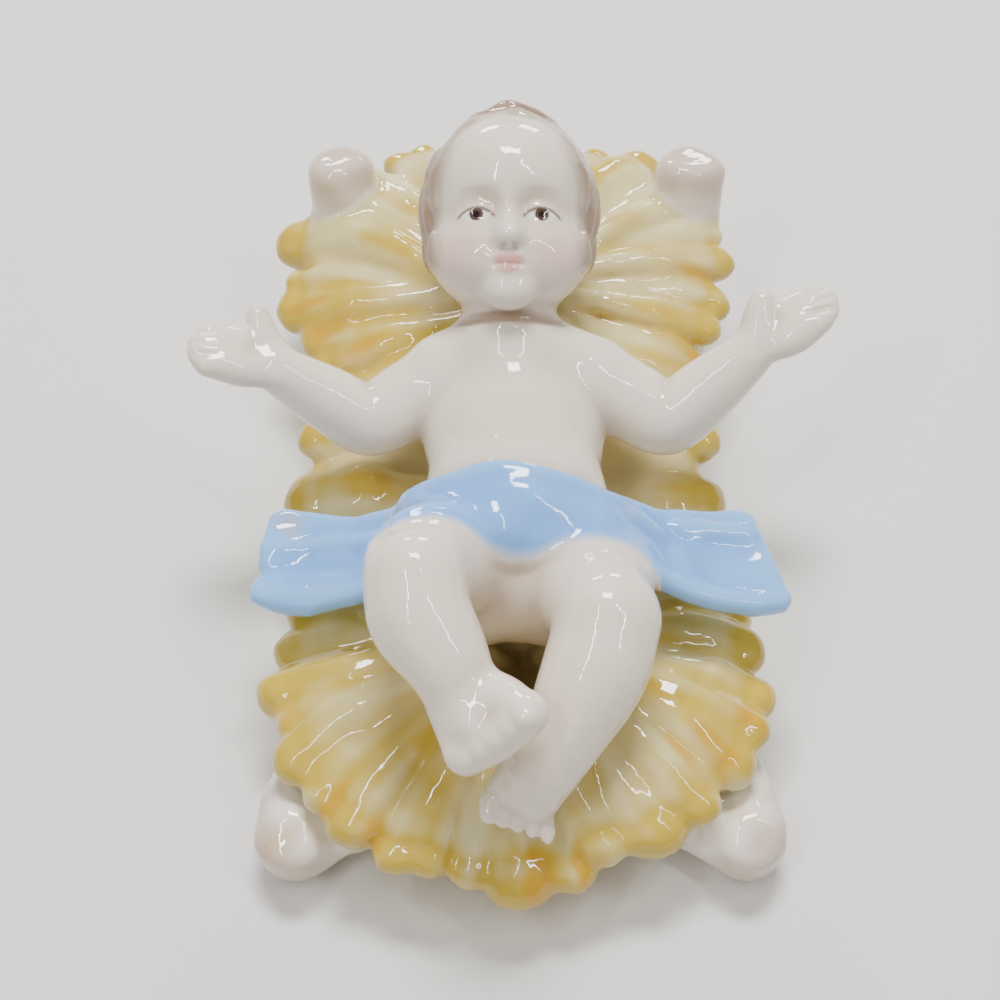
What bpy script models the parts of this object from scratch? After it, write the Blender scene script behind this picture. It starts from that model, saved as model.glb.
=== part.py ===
"""A glazed porcelain infant lying in a manger of straw on four log legs.

Two castings: child_figure, a bare child whose loincloth flies out at both hips, and manger,
a heap of straw fused to the four logs that carry it. The child only rests in the straw.
Metres, +Z up, +Y towards the child's head, origin on the ground under the middle of the object.
"""

import math

import bpy
import bmesh
from mathutils import Matrix, Vector
from mathutils.bvhtree import BVHTree

# Driving dimensions
FIGURE_LENGTH = 0.106  # child, crown of the head to the toes, as posed
BED_LENGTH = 0.128  # straw heap along Y, over the tips of its locks
BED_WIDTH = 0.075  # straw heap along X, over the tips of its locks
BED_CLEARANCE = 0.003  # underside of the heap above the ground
SEAT_HEIGHT = 0.0165  # lowest point of the child's back above the ground
HEAD_LOG_HEIGHT = 0.034  # middle of the sawn top of the two logs at the head end
FOOT_LOG_HEIGHT = 0.012  # middle of the sawn top of the two logs at the foot end
LOG_DIAMETER = 0.0106
CLOTH_THICKNESS = 0.0028  # where the loincloth flies free of the body
REST_GAP = 0.0007  # the straw is pressed in this far clear of the child, and then thinned out

LOG_FLARE = 1.12  # a log's foot is this much thicker than its top
GLAZE_FILL = 0.0008  # glaze fills the gaps in the straw that are narrower than twice this

# How fine the two meshes are, and how often each is softened
CHILD_GRAIN = 0.0008
STRAW_GRAIN = 0.0009
CHILD_SOFTENING = 5
STRAW_SOFTENING = 4
CHILD_TRIANGLES = 4500
STRAW_TRIANGLES = 4900

# The child is drawn 106 units long and the straw 128 by 75, so a unit is 1 mm at these sizes
DRAWN_FIGURE = 106
DRAWN_BED_LENGTH = 128
DRAWN_BED_WIDTH = 75
UNIT = FIGURE_LENGTH / DRAWN_FIGURE
ALONG = BED_LENGTH / DRAWN_BED_LENGTH
ACROSS = BED_WIDTH / DRAWN_BED_WIDTH

# Child: rounded masses as (middle, radii)
HEAD = Vector((-1.0, 33.5, 44.5))
HEAD_TILT = 23  # the crown points this many degrees above the horizontal
BODY_MASSES = (
    ((-0.4, 5.5, 30.0), (13.4, 12.5, 11.4)),  # chest
    ((-0.2, 12.5, 30.5), (14.8, 7.5, 8.6)),  # shoulders
    ((0.0, -6.5, 30.4), (13.2, 11.5, 12.4)),  # belly
    ((0.0, -14.5, 28.6), (14.4, 9.0, 11.6)),  # hips
    ((-6.4, -19.5, 25.0), (7.4, 7.0, 7.8)),
    ((6.4, -19.5, 25.0), (7.4, 7.0, 7.8)),
    ((0.0, -18.0, 27.6), (8.0, 8.0, 9.0)),  # between the thighs
    ((0.2, -12.6, 31.6), (14.8, 9.4, 12.2)),  # loincloth round the belly
    ((-1.0, -17.4, 33.6), (9.0, 6.6, 8.4)),  # its fall between the thighs
)
# Head masses in the head's own axes: across, towards the crown, towards the face
HEAD_MASSES = (
    ((0.0, 2.9, -0.6), (13.0, 14.0, 14.4)),  # skull
    ((0.0, -6.4, 3.0), (10.8, 9.6, 10.2)),  # jaw
    ((-5.6, -5.6, 7.2), (5.2, 5.4, 4.8)),  # cheeks
    ((5.6, -5.6, 7.2), (5.2, 5.4, 4.8)),
    ((0.0, 4.6, 7.0), (9.6, 7.6, 6.6)),  # forehead
    ((0.0, -3.2, 12.3), (1.7, 2.0, 1.8)),  # nose
    ((0.0, -7.6, 11.5), (2.8, 1.6, 1.4)),  # lips
    ((0.0, -11.8, 9.2), (3.6, 3.0, 3.0)),  # chin
    ((0.0, 3.4, -1.8), (13.4, 13.4, 14.0)),  # cap of hair
)
HAIR_LOCKS = (
    ((-10.6, 8.5, 4.4, 1.5), (-11.9, 3.0, 4.4, 1.7), (-11.8, -3.0, 3.4, 1.6), (-10.8, -7.0, 2.0, 1.0)),
    ((10.6, 8.5, 4.4, 1.5), (11.9, 3.0, 4.4, 1.7), (11.8, -3.0, 3.4, 1.6), (10.8, -7.0, 2.0, 1.0)),
    ((-2.6, 15.4, 2.8, 1.0), (0.2, 16.0, 3.2, 1.3), (3.6, 15.2, 2.6, 0.9)),
)
# Limbs as stations (x, y, z, radius). The right leg is crossed over the left one.
LIMBS = (
    ((-0.9, 13.0, 34.0, 7.6), (-1.0, 20.0, 39.0, 7.2), (-1.0, 25.0, 42.0, 7.4)),  # neck
    ((-5.0, 17.0, 37.0, 4.6), (-11.0, 14.6, 34.0, 5.0)),  # slopes of the shoulders
    ((3.6, 16.8, 37.0, 4.6), (11.4, 14.0, 34.0, 5.2)),
    ((-10.5, 13.8, 32.4, 6.4), (-16.0, 10.8, 31.4, 5.9), (-21.8, 7.8, 30.8, 5.5),
     (-27.5, 8.9, 34.2, 4.8), (-33.4, 10.4, 38.2, 3.8)),
    ((11.8, 13.2, 32.4, 6.4), (17.4, 10.4, 31.4, 5.9), (22.6, 8.0, 30.8, 5.5),
     (28.2, 10.4, 34.6, 4.8), (33.6, 13.6, 38.2, 3.8)),
    ((-7.2, -14.0, 29.0, 9.4), (-10.4, -20.5, 36.2, 8.4), (-13.2, -27.2, 43.6, 6.6)),
    ((-13.3, -27.6, 43.8, 6.6), (-12.4, -32.4, 42.6, 6.9), (-9.0, -37.8, 40.8, 5.7),
     (-6.6, -42.0, 38.0, 4.6)),
    ((7.4, -14.5, 28.0, 9.4), (10.2, -22.0, 32.6, 8.4), (12.2, -29.6, 37.6, 6.9)),
    ((12.3, -30.2, 37.6, 6.8), (10.5, -36.2, 35.2, 7.1), (6.8, -42.6, 31.2, 5.7), (4.2, -46.6, 28.0, 4.6)),
    ((-5.8, -46.2, 32.4, 4.2), (-4.4, -46.8, 37.0, 4.0), (-3.4, -47.4, 40.0, 3.0)),  # raised foot
    ((-5.2, -42.0, 38.6, 4.6), (-1.2, -43.6, 41.0, 3.6), (0.8, -45.6, 42.2, 2.6)),
    ((-6.6, -47.2, 34.4, 3.3), (-2.8, -46.9, 37.2, 3.2), (1.2, -45.2, 40.0, 2.8)),
    ((-7.0, -48.8, 37.6, 2.4), (-3.2, -48.6, 40.0, 2.5), (0.8, -46.9, 42.6, 2.5)),
    ((4.2, -46.0, 25.6, 4.3), (2.4, -49.4, 24.0, 3.7), (1.0, -51.4, 22.6, 2.7)),  # lower foot
    ((2.2, -46.4, 27.0, 4.4), (-0.8, -49.6, 24.0, 3.2), (-2.6, -51.0, 22.8, 2.4)),
    ((-3.2, -50.8, 22.6, 2.3), (0.4, -52.6, 21.8, 2.2), (4.0, -53.4, 21.2, 2.0)),
    ((-41.0, 12.6, 42.6, 2.4), (-44.8, 12.4, 43.8, 2.0)),  # fingers
    ((-41.0, 10.6, 42.6, 2.3), (-45.4, 10.4, 43.8, 1.9)),
    ((-40.6, 8.8, 42.2, 2.0), (-43.8, 8.4, 43.2, 1.7)),
    ((-35.6, 12.4, 40.2, 2.4), (-37.0, 15.0, 42.0, 2.0), (-37.6, 17.4, 43.4, 1.7)),  # thumb
    ((40.2, 18.8, 42.6, 2.3), (44.2, 20.6, 43.8, 1.8)),
    ((40.8, 17.0, 42.6, 2.4), (45.6, 18.8, 43.9, 1.9)),
    ((40.8, 14.8, 42.2, 2.1), (44.6, 16.0, 43.2, 1.7)),
    ((35.2, 15.6, 40.2, 2.4), (35.4, 18.2, 42.2, 2.0), (36.0, 20.4, 43.6, 1.6)),
)
# Palms as (middle, radii, degrees of lean outwards and of swing towards the head)
PALMS = (
    ((-38.4, 11.0, 41.4), (5.0, 4.7, 2.8), (20, -6)),
    ((38.4, 15.9, 41.4), (5.0, 4.7, 2.8), (-20, 22)),
)
# Free ends of the loincloth, from the hip outwards: x, then (y, z) of the upper and the lower edge
CLOTH_ENDS = (
    ((-11, -9.5, 38.0, -20.0, 37.0), (-16, -9.2, 34.0, -22.0, 33.0), (-22.5, -8.6, 29.6, -23.4, 29.4),
     (-29, -6.6, 27.8, -24.0, 27.4), (-34.5, -7.0, 28.2, -23.2, 26.4), (-38.0, -11.0, 27.4, -20.8, 26.2)),
    ((11, -10.8, 38.5, -20.0, 38.0), (16, -9.8, 34.4, -22.0, 35.5), (21, -8.2, 30.6, -22.8, 32.0),
     (27.4, -6.9, 28.8, -23.8, 29.2), (33.2, -6.8, 28.2, -24.2, 28.0), (38.6, -14.4, 28.0, -22.4, 27.4)),
)
CLOTH_FOLDS = (
    ((-15.0, -9.4, 35.6, 1.0), (-9.0, -9.4, 40.6, 1.2), (-2.0, -8.8, 43.2, 1.2), (5.5, -10.0, 42.2, 1.2),
     (12.6, -10.8, 37.6, 1.1), (18.0, -9.4, 32.6, 0.9)),  # upper hem
    ((-17.0, -16.0, 34.0, 1.0), (-24.0, -15.0, 29.8, 1.3), (-33.0, -14.6, 28.2, 1.4),
     (-36.6, -14.6, 27.6, 0.9)),
    ((-20.0, -22.0, 31.0, 0.9), (-28.0, -22.0, 28.2, 1.1), (-36.0, -20.6, 27.4, 0.9)),
    ((17.0, -14.0, 35.0, 1.0), (24.0, -11.6, 31.0, 1.2), (33.0, -12.4, 29.6, 1.2)),
    ((18.0, -21.0, 34.8, 1.0), (25.0, -22.2, 31.0, 1.2), (33.0, -23.0, 29.2, 1.2),
     (37.6, -21.6, 28.4, 0.9)),
)

# Straw: how far it stands above the child's seat along the bed, as (y, rise)
STRAW_RISE = (
    (-64, -13.5), (-60, -8.0), (-55, -0.4), (-50, 3.0), (-43, 4.8), (-35, 5.2), (-26, 4.2), (-14, 2.2),
    (-2, 1.8), (8, 2.6), (18, 5.6), (28, 9.2), (40, 11.4), (54, 12.4), (62, 11.6), (70, 7.5),
)
PILLOW = (34.0, 15.0, 3.6)  # where the head lies: place along the bed, reach and rise
HOLLOW = (-28.0, 8.5, -6.0)  # behind the knees: place along the bed, reach and fall
RIM_FALL = 5.0  # the straw bends down this far at its long edges
FANS = (34.0, -17.0)  # the locks radiate from these two places on the middle line
# Locks as (x, y) of the tip and half the width, one fan after the other
HEAD_LOCKS = (
    (-33.5, 11.0, 4.2), (-32.5, 17.5, 3.2), (-32.2, 23.6, 3.0), (-34.6, 29.2, 3.0), (-38.3, 34.2, 3.3),
    (-36.4, 39.4, 2.8), (-38.2, 48.0, 4.4), (-32.4, 55.0, 4.2), (-26.0, 62.0, 3.4), (-20.8, 66.6, 3.2),
    (-15.6, 67.4, 2.9), (-9.8, 66.6, 3.1), (-3.6, 66.0, 3.3), (2.8, 66.0, 3.3), (8.8, 66.8, 3.1),
    (14.6, 68.2, 3.5), (22.0, 66.2, 4.0), (28.6, 60.0, 3.4), (31.6, 52.0, 2.8), (32.8, 47.6, 2.6),
    (34.8, 42.6, 3.0), (33.6, 35.0, 3.6), (32.2, 29.6, 2.8), (31.0, 24.2, 3.0), (31.4, 17.6, 3.2),
    (31.6, 10.5, 4.2),
)
FOOT_LOCKS = (
    (-35.0, 3.0, 4.6), (-34.4, -6.0, 4.2), (-33.6, -14.0, 3.8), (-34.6, -21.0, 3.8), (-36.6, -28.8, 4.0),
    (-33.8, -35.4, 3.2), (-32.4, -41.4, 3.4), (-28.6, -47.4, 3.0), (-24.4, -51.8, 3.3), (-18.6, -54.4, 3.1),
    (-13.0, -55.6, 2.8), (-7.6, -57.4, 2.7), (-2.4, -59.4, 2.7), (3.0, -59.8, 2.8), (7.4, -57.8, 2.6),
    (11.6, -54.8, 2.6), (16.4, -54.0, 2.9), (21.4, -52.6, 3.4), (25.4, -49.8, 3.0), (29.6, -46.0, 2.8),
    (33.2, -41.4, 2.8), (35.0, -37.0, 3.3), (36.6, -30.2, 3.6), (36.2, -22.6, 3.4), (34.2, -15.0, 3.6),
    (32.4, -6.0, 4.2), (32.2, 3.0, 4.6),
)
LOCK_TIP = 0.8  # a lock's round tip loses this much when it is softened
# Bold and slight locks take turns, as (share of the way to the tip, girth, how deep it is sunk),
# the last two in half widths
BOLD_LOCK = ((0.26, 0.6, 0.6), (0.46, 0.9, 0.35), (0.74, 1.15, 0.35), (1, 0.85, 0.8))
SLIGHT_LOCK = ((0.50, 0.35, 1.6), (0.66, 0.6, 1.3), (0.84, 0.85, 1.1), (1, 0.75, 1.2))
# The packed heap under the locks
HEAP_MIDDLE = 4.0  # its place along the bed
HEAP_HALF_LENGTH = 60.0
HEAP_HALF_WIDTH = 32.0
HEAP_SQUARENESS = 0.7  # 0 is an oval from above, 1 is a rectangle
HEAP_BELT = 0.45  # its widest level, as a share of its height
HEAP_GAP = 0.0016  # it lies this far under the tops of the locks on the middle line
HEAP_SIDE_GAP = 0.0018  # and this much further under them from HEAP_SIDE outwards
HEAP_SIDE = 20
# Logs as (x, y) of the foot, (x, y) of the sawn top
HEAD_LOGS = (((-26.0, 45.0), (-29.0, 57.6)), ((26.0, 45.0), (28.6, 57.6)))
FOOT_LOGS = (((-31.0, -45.4), (-32.8, -51.6)), ((32.0, -45.4), (34.2, -51.6)))
# Where each log spreads into the straw, as two stations (x, y, share of the log's height and of its radius)
LOG_ROOTS = (
    ((-28.2, 53.4, 0.62, 1.0), (-20.0, 46.0, 0.5, 1.3)),
    ((27.6, 53.4, 0.62, 1.0), (20.0, 46.0, 0.5, 1.3)),
    ((-31.4, -49.4, 0.52, 1.05), (-22.0, -42.0, 0.64, 1.25)),
    ((32.6, -49.4, 0.52, 1.05), (22.6, -42.0, 0.64, 1.25)),
)


def start():
    """Clear the scene and make one collection for the parts and one for the cutters."""
    for old in list(bpy.data.objects):
        bpy.data.objects.remove(old)
    folders = []
    for name in ("infant_in_manger", "cutters"):
        folder = bpy.data.collections.new(name)
        bpy.context.scene.collection.children.link(folder)
        folders.append(folder)
    return folders


def evaluated(thing):
    """The mesh that an object shows once its modifiers, or its bevel, have run."""
    graph = bpy.context.evaluated_depsgraph_get()
    graph.update()
    return bpy.data.meshes.new_from_object(thing.evaluated_get(graph))


def shape(name, clay, folder):
    """An object made of loose lumps, which are then freed."""
    mesh = bpy.data.meshes.new(name)
    clay.to_mesh(mesh)
    clay.free()
    thing = bpy.data.objects.new(name, mesh)
    folder.objects.link(thing)
    return thing


def baked(thing):
    """Apply an object's modifiers."""
    mesh = evaluated(thing)
    thing.modifiers.clear()
    thing.data = mesh


def ball(clay, middle, radii, turn=None):
    """One ellipsoid lump."""
    lump = bmesh.new()
    place = Matrix.Translation(middle) @ (turn or Matrix()) @ Matrix.Diagonal((*radii, 1))
    bmesh.ops.create_uvsphere(lump, u_segments=24, v_segments=14, radius=1, matrix=place)
    mesh = bpy.data.meshes.new("ball")
    lump.to_mesh(mesh)
    lump.free()
    clay.from_mesh(mesh)
    bpy.data.meshes.remove(mesh)


def limb(clay, stations):
    """A round limb that swells and tapers through its stations (x, y, z, radius), in metres."""
    route = bpy.data.curves.new("limb", "CURVE")
    route.dimensions = "3D"
    route.bevel_depth = 1
    route.bevel_resolution = 2
    route.use_fill_caps = True
    route.resolution_u = 5
    spline = route.splines.new("BEZIER")
    spline.bezier_points.add(len(stations) - 1)
    for point, station in zip(spline.bezier_points, stations):
        point.co = station[:3]
        point.radius = station[3]
        point.handle_left_type = point.handle_right_type = "AUTO"
    thing = bpy.data.objects.new("limb", route)
    bpy.context.scene.collection.objects.link(thing)
    clay.from_mesh(evaluated(thing))
    bpy.data.objects.remove(thing)
    for station in (stations[0], stations[-1]):
        ball(clay, station[:3], (station[3],) * 3)


def cloth_end(clay, stations, thickness):
    """A slab of cloth lofted through stations (x, upper y, upper z, lower y, lower z), in metres."""
    rows = 7
    sheet = bmesh.new()
    bmesh.ops.create_grid(sheet, x_segments=len(stations) - 1, y_segments=rows - 1, size=0.5)
    for corner in sheet.verts:
        x, upper_y, upper_z, lower_y, lower_z = stations[round((corner.co.x + 0.5) * (len(stations) - 1))]
        share = 0.5 - corner.co.y
        sag = math.sin(math.pi * share) * thickness / 2
        corner.co = (x, upper_y + (lower_y - upper_y) * share, upper_z + (lower_z - upper_z) * share - sag)
    bmesh.ops.recalc_face_normals(sheet, faces=sheet.faces)
    thing = shape("cloth", sheet, bpy.context.scene.collection)
    skin = thing.modifiers.new("thickness", "SOLIDIFY")
    skin.thickness = thickness
    skin.offset = 0
    clay.from_mesh(evaluated(thing))
    bpy.data.objects.remove(thing)


def knead(thing, grain, rounds, fill=0.0):
    """Melt the lumps of an object into one skin, fill its narrow gaps and soften it."""
    for swell in (fill, -fill) if fill else (0.0,):
        melt = thing.modifiers.new("melt", "REMESH")
        melt.mode = "VOXEL"
        melt.voxel_size = grain
        if swell:
            push = thing.modifiers.new("push", "DISPLACE")
            push.strength = swell
            push.mid_level = 0
    soften = thing.modifiers.new("soften", "SMOOTH")
    soften.factor = 0.5
    soften.iterations = rounds
    baked(thing)


def thin_out(thing, triangles):
    """Keep about this many triangles, most of them where the surface bends."""
    thinner = thing.modifiers.new("thin_out", "DECIMATE")
    thinner.ratio = min(1, triangles / sum(len(face.vertices) - 2 for face in thing.data.polygons))
    baked(thing)


def finish(thing, colour, roughness):
    """Smooth shading and a glazed finish in one colour."""
    glaze = bpy.data.materials.new(thing.name + "_glaze")
    glaze.use_nodes = True
    shader = glaze.node_tree.nodes["Principled BSDF"]
    shader.inputs["Base Color"].default_value = (*colour, 1)
    shader.inputs["Roughness"].default_value = roughness
    shader.inputs["Metallic"].default_value = 0
    thing.data.materials.append(glaze)
    thing.data.shade_smooth()
    thing.data.set_sharp_from_angle(angle=math.radians(50))


def drawn(stations):
    """Stations of the child, from drawing units to metres."""
    return [tuple(value * UNIT for value in station) for station in stations]


def child(folder):
    """The child with the loincloth."""
    clay = bmesh.new()
    for middle, radii in BODY_MASSES:
        ball(clay, Vector(middle) * UNIT, Vector(radii) * UNIT)
    for middle, radii, (lean, swing) in PALMS:
        leaning = Matrix.Rotation(math.radians(lean), 4, "Y")
        swung = Matrix.Rotation(math.radians(swing), 4, "Z")
        ball(clay, Vector(middle) * UNIT, Vector(radii) * UNIT, swung @ leaning)
    tilt = Matrix.Rotation(math.radians(HEAD_TILT), 4, "X")
    for middle, radii in HEAD_MASSES:
        ball(clay, (HEAD + tilt @ Vector(middle)) * UNIT, Vector(radii) * UNIT, tilt)
    for lock in HAIR_LOCKS:
        limb(clay, drawn([(*(HEAD + tilt @ Vector(station[:3])), station[3]) for station in lock]))
    for stations in LIMBS + CLOTH_FOLDS:
        limb(clay, drawn(stations))
    for stations in CLOTH_ENDS:
        cloth_end(clay, drawn(stations), CLOTH_THICKNESS)
    thing = shape("child_figure", clay, folder)
    knead(thing, CHILD_GRAIN, CHILD_SOFTENING)
    thin_out(thing, CHILD_TRIANGLES)
    lowest = min(vertex.co.z for vertex in thing.data.vertices)
    thing.data.transform(Matrix.Translation((0, 0, SEAT_HEIGHT - lowest)))
    finish(thing, (0.80, 0.75, 0.68), 0.12)
    return thing


def straw_top(x, y):
    """Height of the straw, in metres, at a drawn place."""
    for (y0, rise0), (y1, rise1) in zip(STRAW_RISE, STRAW_RISE[1:]):
        if y <= y1:
            share = max(0, (y - y0) / (y1 - y0))
            rise = rise0 + (rise1 - rise0) * share
            break
    else:
        rise = STRAW_RISE[-1][1]
    edge = min(1, abs(x) / (DRAWN_BED_WIDTH / 2))
    for place, reach, lift in (PILLOW, HOLLOW):
        rise += lift * math.exp(-((y - place) ** 2 + x ** 2) / reach ** 2)
    return SEAT_HEIGHT + (rise - RIM_FALL * edge ** 5) * ACROSS


def heap(clay):
    """The packed body of the straw: a ball flattened below and spread to a rounded oblong."""
    first = len(clay.verts)
    bmesh.ops.create_uvsphere(clay, u_segments=48, v_segments=24, radius=1)
    clay.verts.ensure_lookup_table()
    for corner in clay.verts[first:]:
        a, b, c = corner.co
        reach = math.hypot(a, b)
        stretch = (reach / max(abs(a), abs(b))) ** HEAP_SQUARENESS if reach > 1e-6 else 1
        x = a * stretch * HEAP_HALF_WIDTH
        y = HEAP_MIDDLE + b * stretch * HEAP_HALF_LENGTH
        top = straw_top(x, y) - HEAP_GAP - HEAP_SIDE_GAP * min(1, abs(x) / HEAP_SIDE)
        waist = BED_CLEARANCE + (top - BED_CLEARANCE) * HEAP_BELT
        end = top if c > 0 else BED_CLEARANCE
        corner.co = (x * ACROSS, y * ALONG, waist + (end - waist) * math.sqrt(abs(c)))


def straw_lock(clay, fan_y, tip, profile):
    """One lock of straw from near its fan's middle to its rounded tip, half sunk in the heap."""
    stations = []
    tip_x, tip_y, half_width = tip
    last = 1 - (half_width * profile[-1][1] - LOCK_TIP) / math.hypot(tip_x, tip_y - fan_y)
    for share, girth, sink in profile:
        x = tip_x * share * last
        y = fan_y + (tip_y - fan_y) * share * last
        radius = half_width * girth * ACROSS
        z = max(straw_top(x, y) - radius * sink, BED_CLEARANCE + radius)
        stations.append((x * ACROSS, y * ALONG, z, radius))
    limb(clay, stations)


def log(clay, foot, top, height):
    """A short log from below the ground to its sawn top."""
    low = Vector((foot[0] * ACROSS, foot[1] * ALONG, 0))
    high = Vector((top[0] * ACROSS, top[1] * ALONG, height))
    axis = high - low
    low -= axis.normalized() * LOG_DIAMETER / 2
    length = (high - low).length
    place = Matrix.Translation((low + high) / 2) @ axis.to_track_quat("Z", "Y").to_matrix().to_4x4()
    bmesh.ops.create_cone(clay, cap_ends=True, segments=24, radius1=LOG_FLARE * LOG_DIAMETER / 2,
                          radius2=LOG_DIAMETER / 2, depth=length, matrix=place)


def spread(clay, root, height):
    """Where a log widens into the straw."""
    half = LOG_DIAMETER / 2
    stations = [(x * ACROSS, y * ALONG, height * level, half * girth) for x, y, level, girth in root]
    limb(clay, [(x, y, max(z, radius), radius) for x, y, z, radius in stations])


def fill_bubbles(thing):
    """Drop every closed skin but the largest: the others are bubbles sealed in between the lumps."""
    clay = bmesh.new()
    clay.from_mesh(thing.data)
    left = set(clay.verts)
    skins = []
    while left:
        skin = set()
        front = {left.pop()}
        while front:
            skin |= front
            front = {edge.other_vert(corner) for corner in front for edge in corner.link_edges} - skin
        left -= skin
        skins.append(skin)
    largest = max(skins, key=len)
    bmesh.ops.delete(clay, geom=[corner for corner in clay.verts if corner not in largest], context="VERTS")
    clay.to_mesh(thing.data)
    clay.free()


def press(straw, body):
    """Push the straw down wherever the body lies lower than it."""
    grown = bmesh.new()
    grown.from_mesh(body.data)
    grown.normal_update()
    for corner in grown.verts:
        corner.co += corner.normal * REST_GAP
    skin = BVHTree.FromBMesh(grown)
    for vertex in straw.data.vertices:
        below = Vector((vertex.co.x, vertex.co.y, -1))
        hit = skin.ray_cast(below, Vector((0, 0, 1)))[0]
        if hit and vertex.co.z > hit.z:
            vertex.co.z = hit.z
    grown.free()


def manger(folder, cutters, body):
    """The straw with its four logs, pressed in under the child and cut flat at the ground."""
    clay = bmesh.new()
    heap(clay)
    for fan_y, locks in zip(FANS, (HEAD_LOCKS, FOOT_LOCKS)):
        for number, tip in enumerate(locks):
            straw_lock(clay, fan_y, tip, SLIGHT_LOCK if number % 2 else BOLD_LOCK)
    heights = (HEAD_LOG_HEIGHT, HEAD_LOG_HEIGHT, FOOT_LOG_HEIGHT, FOOT_LOG_HEIGHT)
    for (foot, top), root, height in zip(HEAD_LOGS + FOOT_LOGS, LOG_ROOTS, heights):
        log(clay, foot, top, height)
        spread(clay, root, height)
    thing = shape("manger", clay, folder)
    knead(thing, STRAW_GRAIN, STRAW_SOFTENING, GLAZE_FILL)
    fill_bubbles(thing)
    press(thing, body)
    thin_out(thing, STRAW_TRIANGLES)
    block = bmesh.new()
    bmesh.ops.create_cube(block, size=1, matrix=Matrix.Translation((0, 0, -0.5)))
    ground = shape("ground", block, cutters)
    ground.hide_render = True
    ground.display_type = "WIRE"
    cut = thing.modifiers.new("stand_flat", "BOOLEAN")
    cut.object = ground
    cut.operation = "DIFFERENCE"
    baked(thing)
    finish(thing, (0.76, 0.62, 0.30), 0.12)
    return thing


def centre(things):
    """Bring the middle of the whole object's box over the origin, and say where it was."""
    corners = [vertex.co for thing in things for vertex in thing.data.vertices]
    middle = [(min(c[axis] for c in corners) + max(c[axis] for c in corners)) / 2 for axis in (0, 1)]
    for thing in things:
        thing.data.transform(Matrix.Translation((-middle[0], -middle[1], 0)))
    return middle


def main():
    """Build both castings."""
    parts, cutters = start()
    body = child(parts)
    bed = manger(parts, cutters, body)
    return centre((body, bed))


if __name__ == "__main__":
    main()
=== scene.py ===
# A glazed porcelain infant with a blue loincloth, resting in a manger of straw on four log legs.
# Both castings are worked as wet clay is: rounded lumps are melted into one another inside
# a block of distances, in millimetres, and the block is then fired into a mesh.
# The tables are in drawn millimetres, in which the whole object is drawnLength long.

import math

import bpy
import numpy as np
import openvdb
from mathutils import Matrix, Vector


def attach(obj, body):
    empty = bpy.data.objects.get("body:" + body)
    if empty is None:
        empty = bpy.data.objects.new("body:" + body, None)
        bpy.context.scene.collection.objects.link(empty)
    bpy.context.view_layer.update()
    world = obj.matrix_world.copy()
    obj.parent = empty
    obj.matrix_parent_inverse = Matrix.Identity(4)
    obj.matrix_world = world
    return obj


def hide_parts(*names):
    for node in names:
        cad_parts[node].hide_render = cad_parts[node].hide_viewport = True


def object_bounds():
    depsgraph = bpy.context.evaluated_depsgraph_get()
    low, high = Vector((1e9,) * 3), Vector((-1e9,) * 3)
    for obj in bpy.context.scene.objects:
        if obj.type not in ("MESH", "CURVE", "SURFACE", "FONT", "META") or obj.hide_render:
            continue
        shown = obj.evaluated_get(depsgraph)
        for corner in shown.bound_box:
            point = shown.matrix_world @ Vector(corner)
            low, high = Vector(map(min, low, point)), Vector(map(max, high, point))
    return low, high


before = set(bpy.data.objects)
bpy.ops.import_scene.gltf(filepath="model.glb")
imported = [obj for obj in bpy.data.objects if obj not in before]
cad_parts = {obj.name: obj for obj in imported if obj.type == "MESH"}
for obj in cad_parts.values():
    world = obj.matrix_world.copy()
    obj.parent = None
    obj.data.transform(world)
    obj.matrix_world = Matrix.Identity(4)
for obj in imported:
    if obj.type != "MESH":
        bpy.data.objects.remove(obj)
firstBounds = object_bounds()

# the camera stands where the photograph was taken from
camera = {
    "elevation": 57.0,  # degrees above the table
    "distance": 0.260,
    "focalLength": 61.92,  # on a 36 mm sensor
    "shiftAcross": -0.016,
    "lookAt": (-0.0001, -0.0041, 0.020),
}


def addObject(name, data):
    item = bpy.data.objects.new(name, data)
    bpy.context.scene.collection.objects.link(item)
    return item


def placeCamera(facts):
    rise = math.radians(facts["elevation"])
    back = Vector((0.0, -math.cos(rise), math.sin(rise)))
    lens = bpy.data.cameras.new("photographCamera")
    lens.lens = facts["focalLength"]
    lens.sensor_width = 36.0
    lens.shift_x = facts["shiftAcross"]
    lens.clip_start = 0.01
    holder = addObject("photographCamera", lens)
    holder.location = Vector(facts["lookAt"]) + back * facts["distance"]
    holder.rotation_euler = back.to_track_quat("Z", "Y").to_euler()
    bpy.context.scene.camera = holder


placeCamera(camera)
print("camera placed")

# from drawn millimetres to the frame: the frame's length sets the scale
drawnLength = 128.96
drawnMiddle = np.array((0.098, 4.171, 0.0))
childDrop = np.array((0.0, 0.0, -0.557))  # the child settles this far into its bed
mm = (firstBounds[1].y - firstBounds[0].y) / drawnLength
emptyDepth = 9.0  # what an empty block says: far from any clay


def softMin(a, b, blend):
    # the smaller of two distances, their seam rounded over the blend
    share = np.clip(0.5 + 0.5 * (a - b) / blend, 0.0, 1.0)
    return a + (b - a) * share - blend * share * (1.0 - share)


def softMax(a, b, blend):
    return -softMin(-a, -b, blend)


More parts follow.
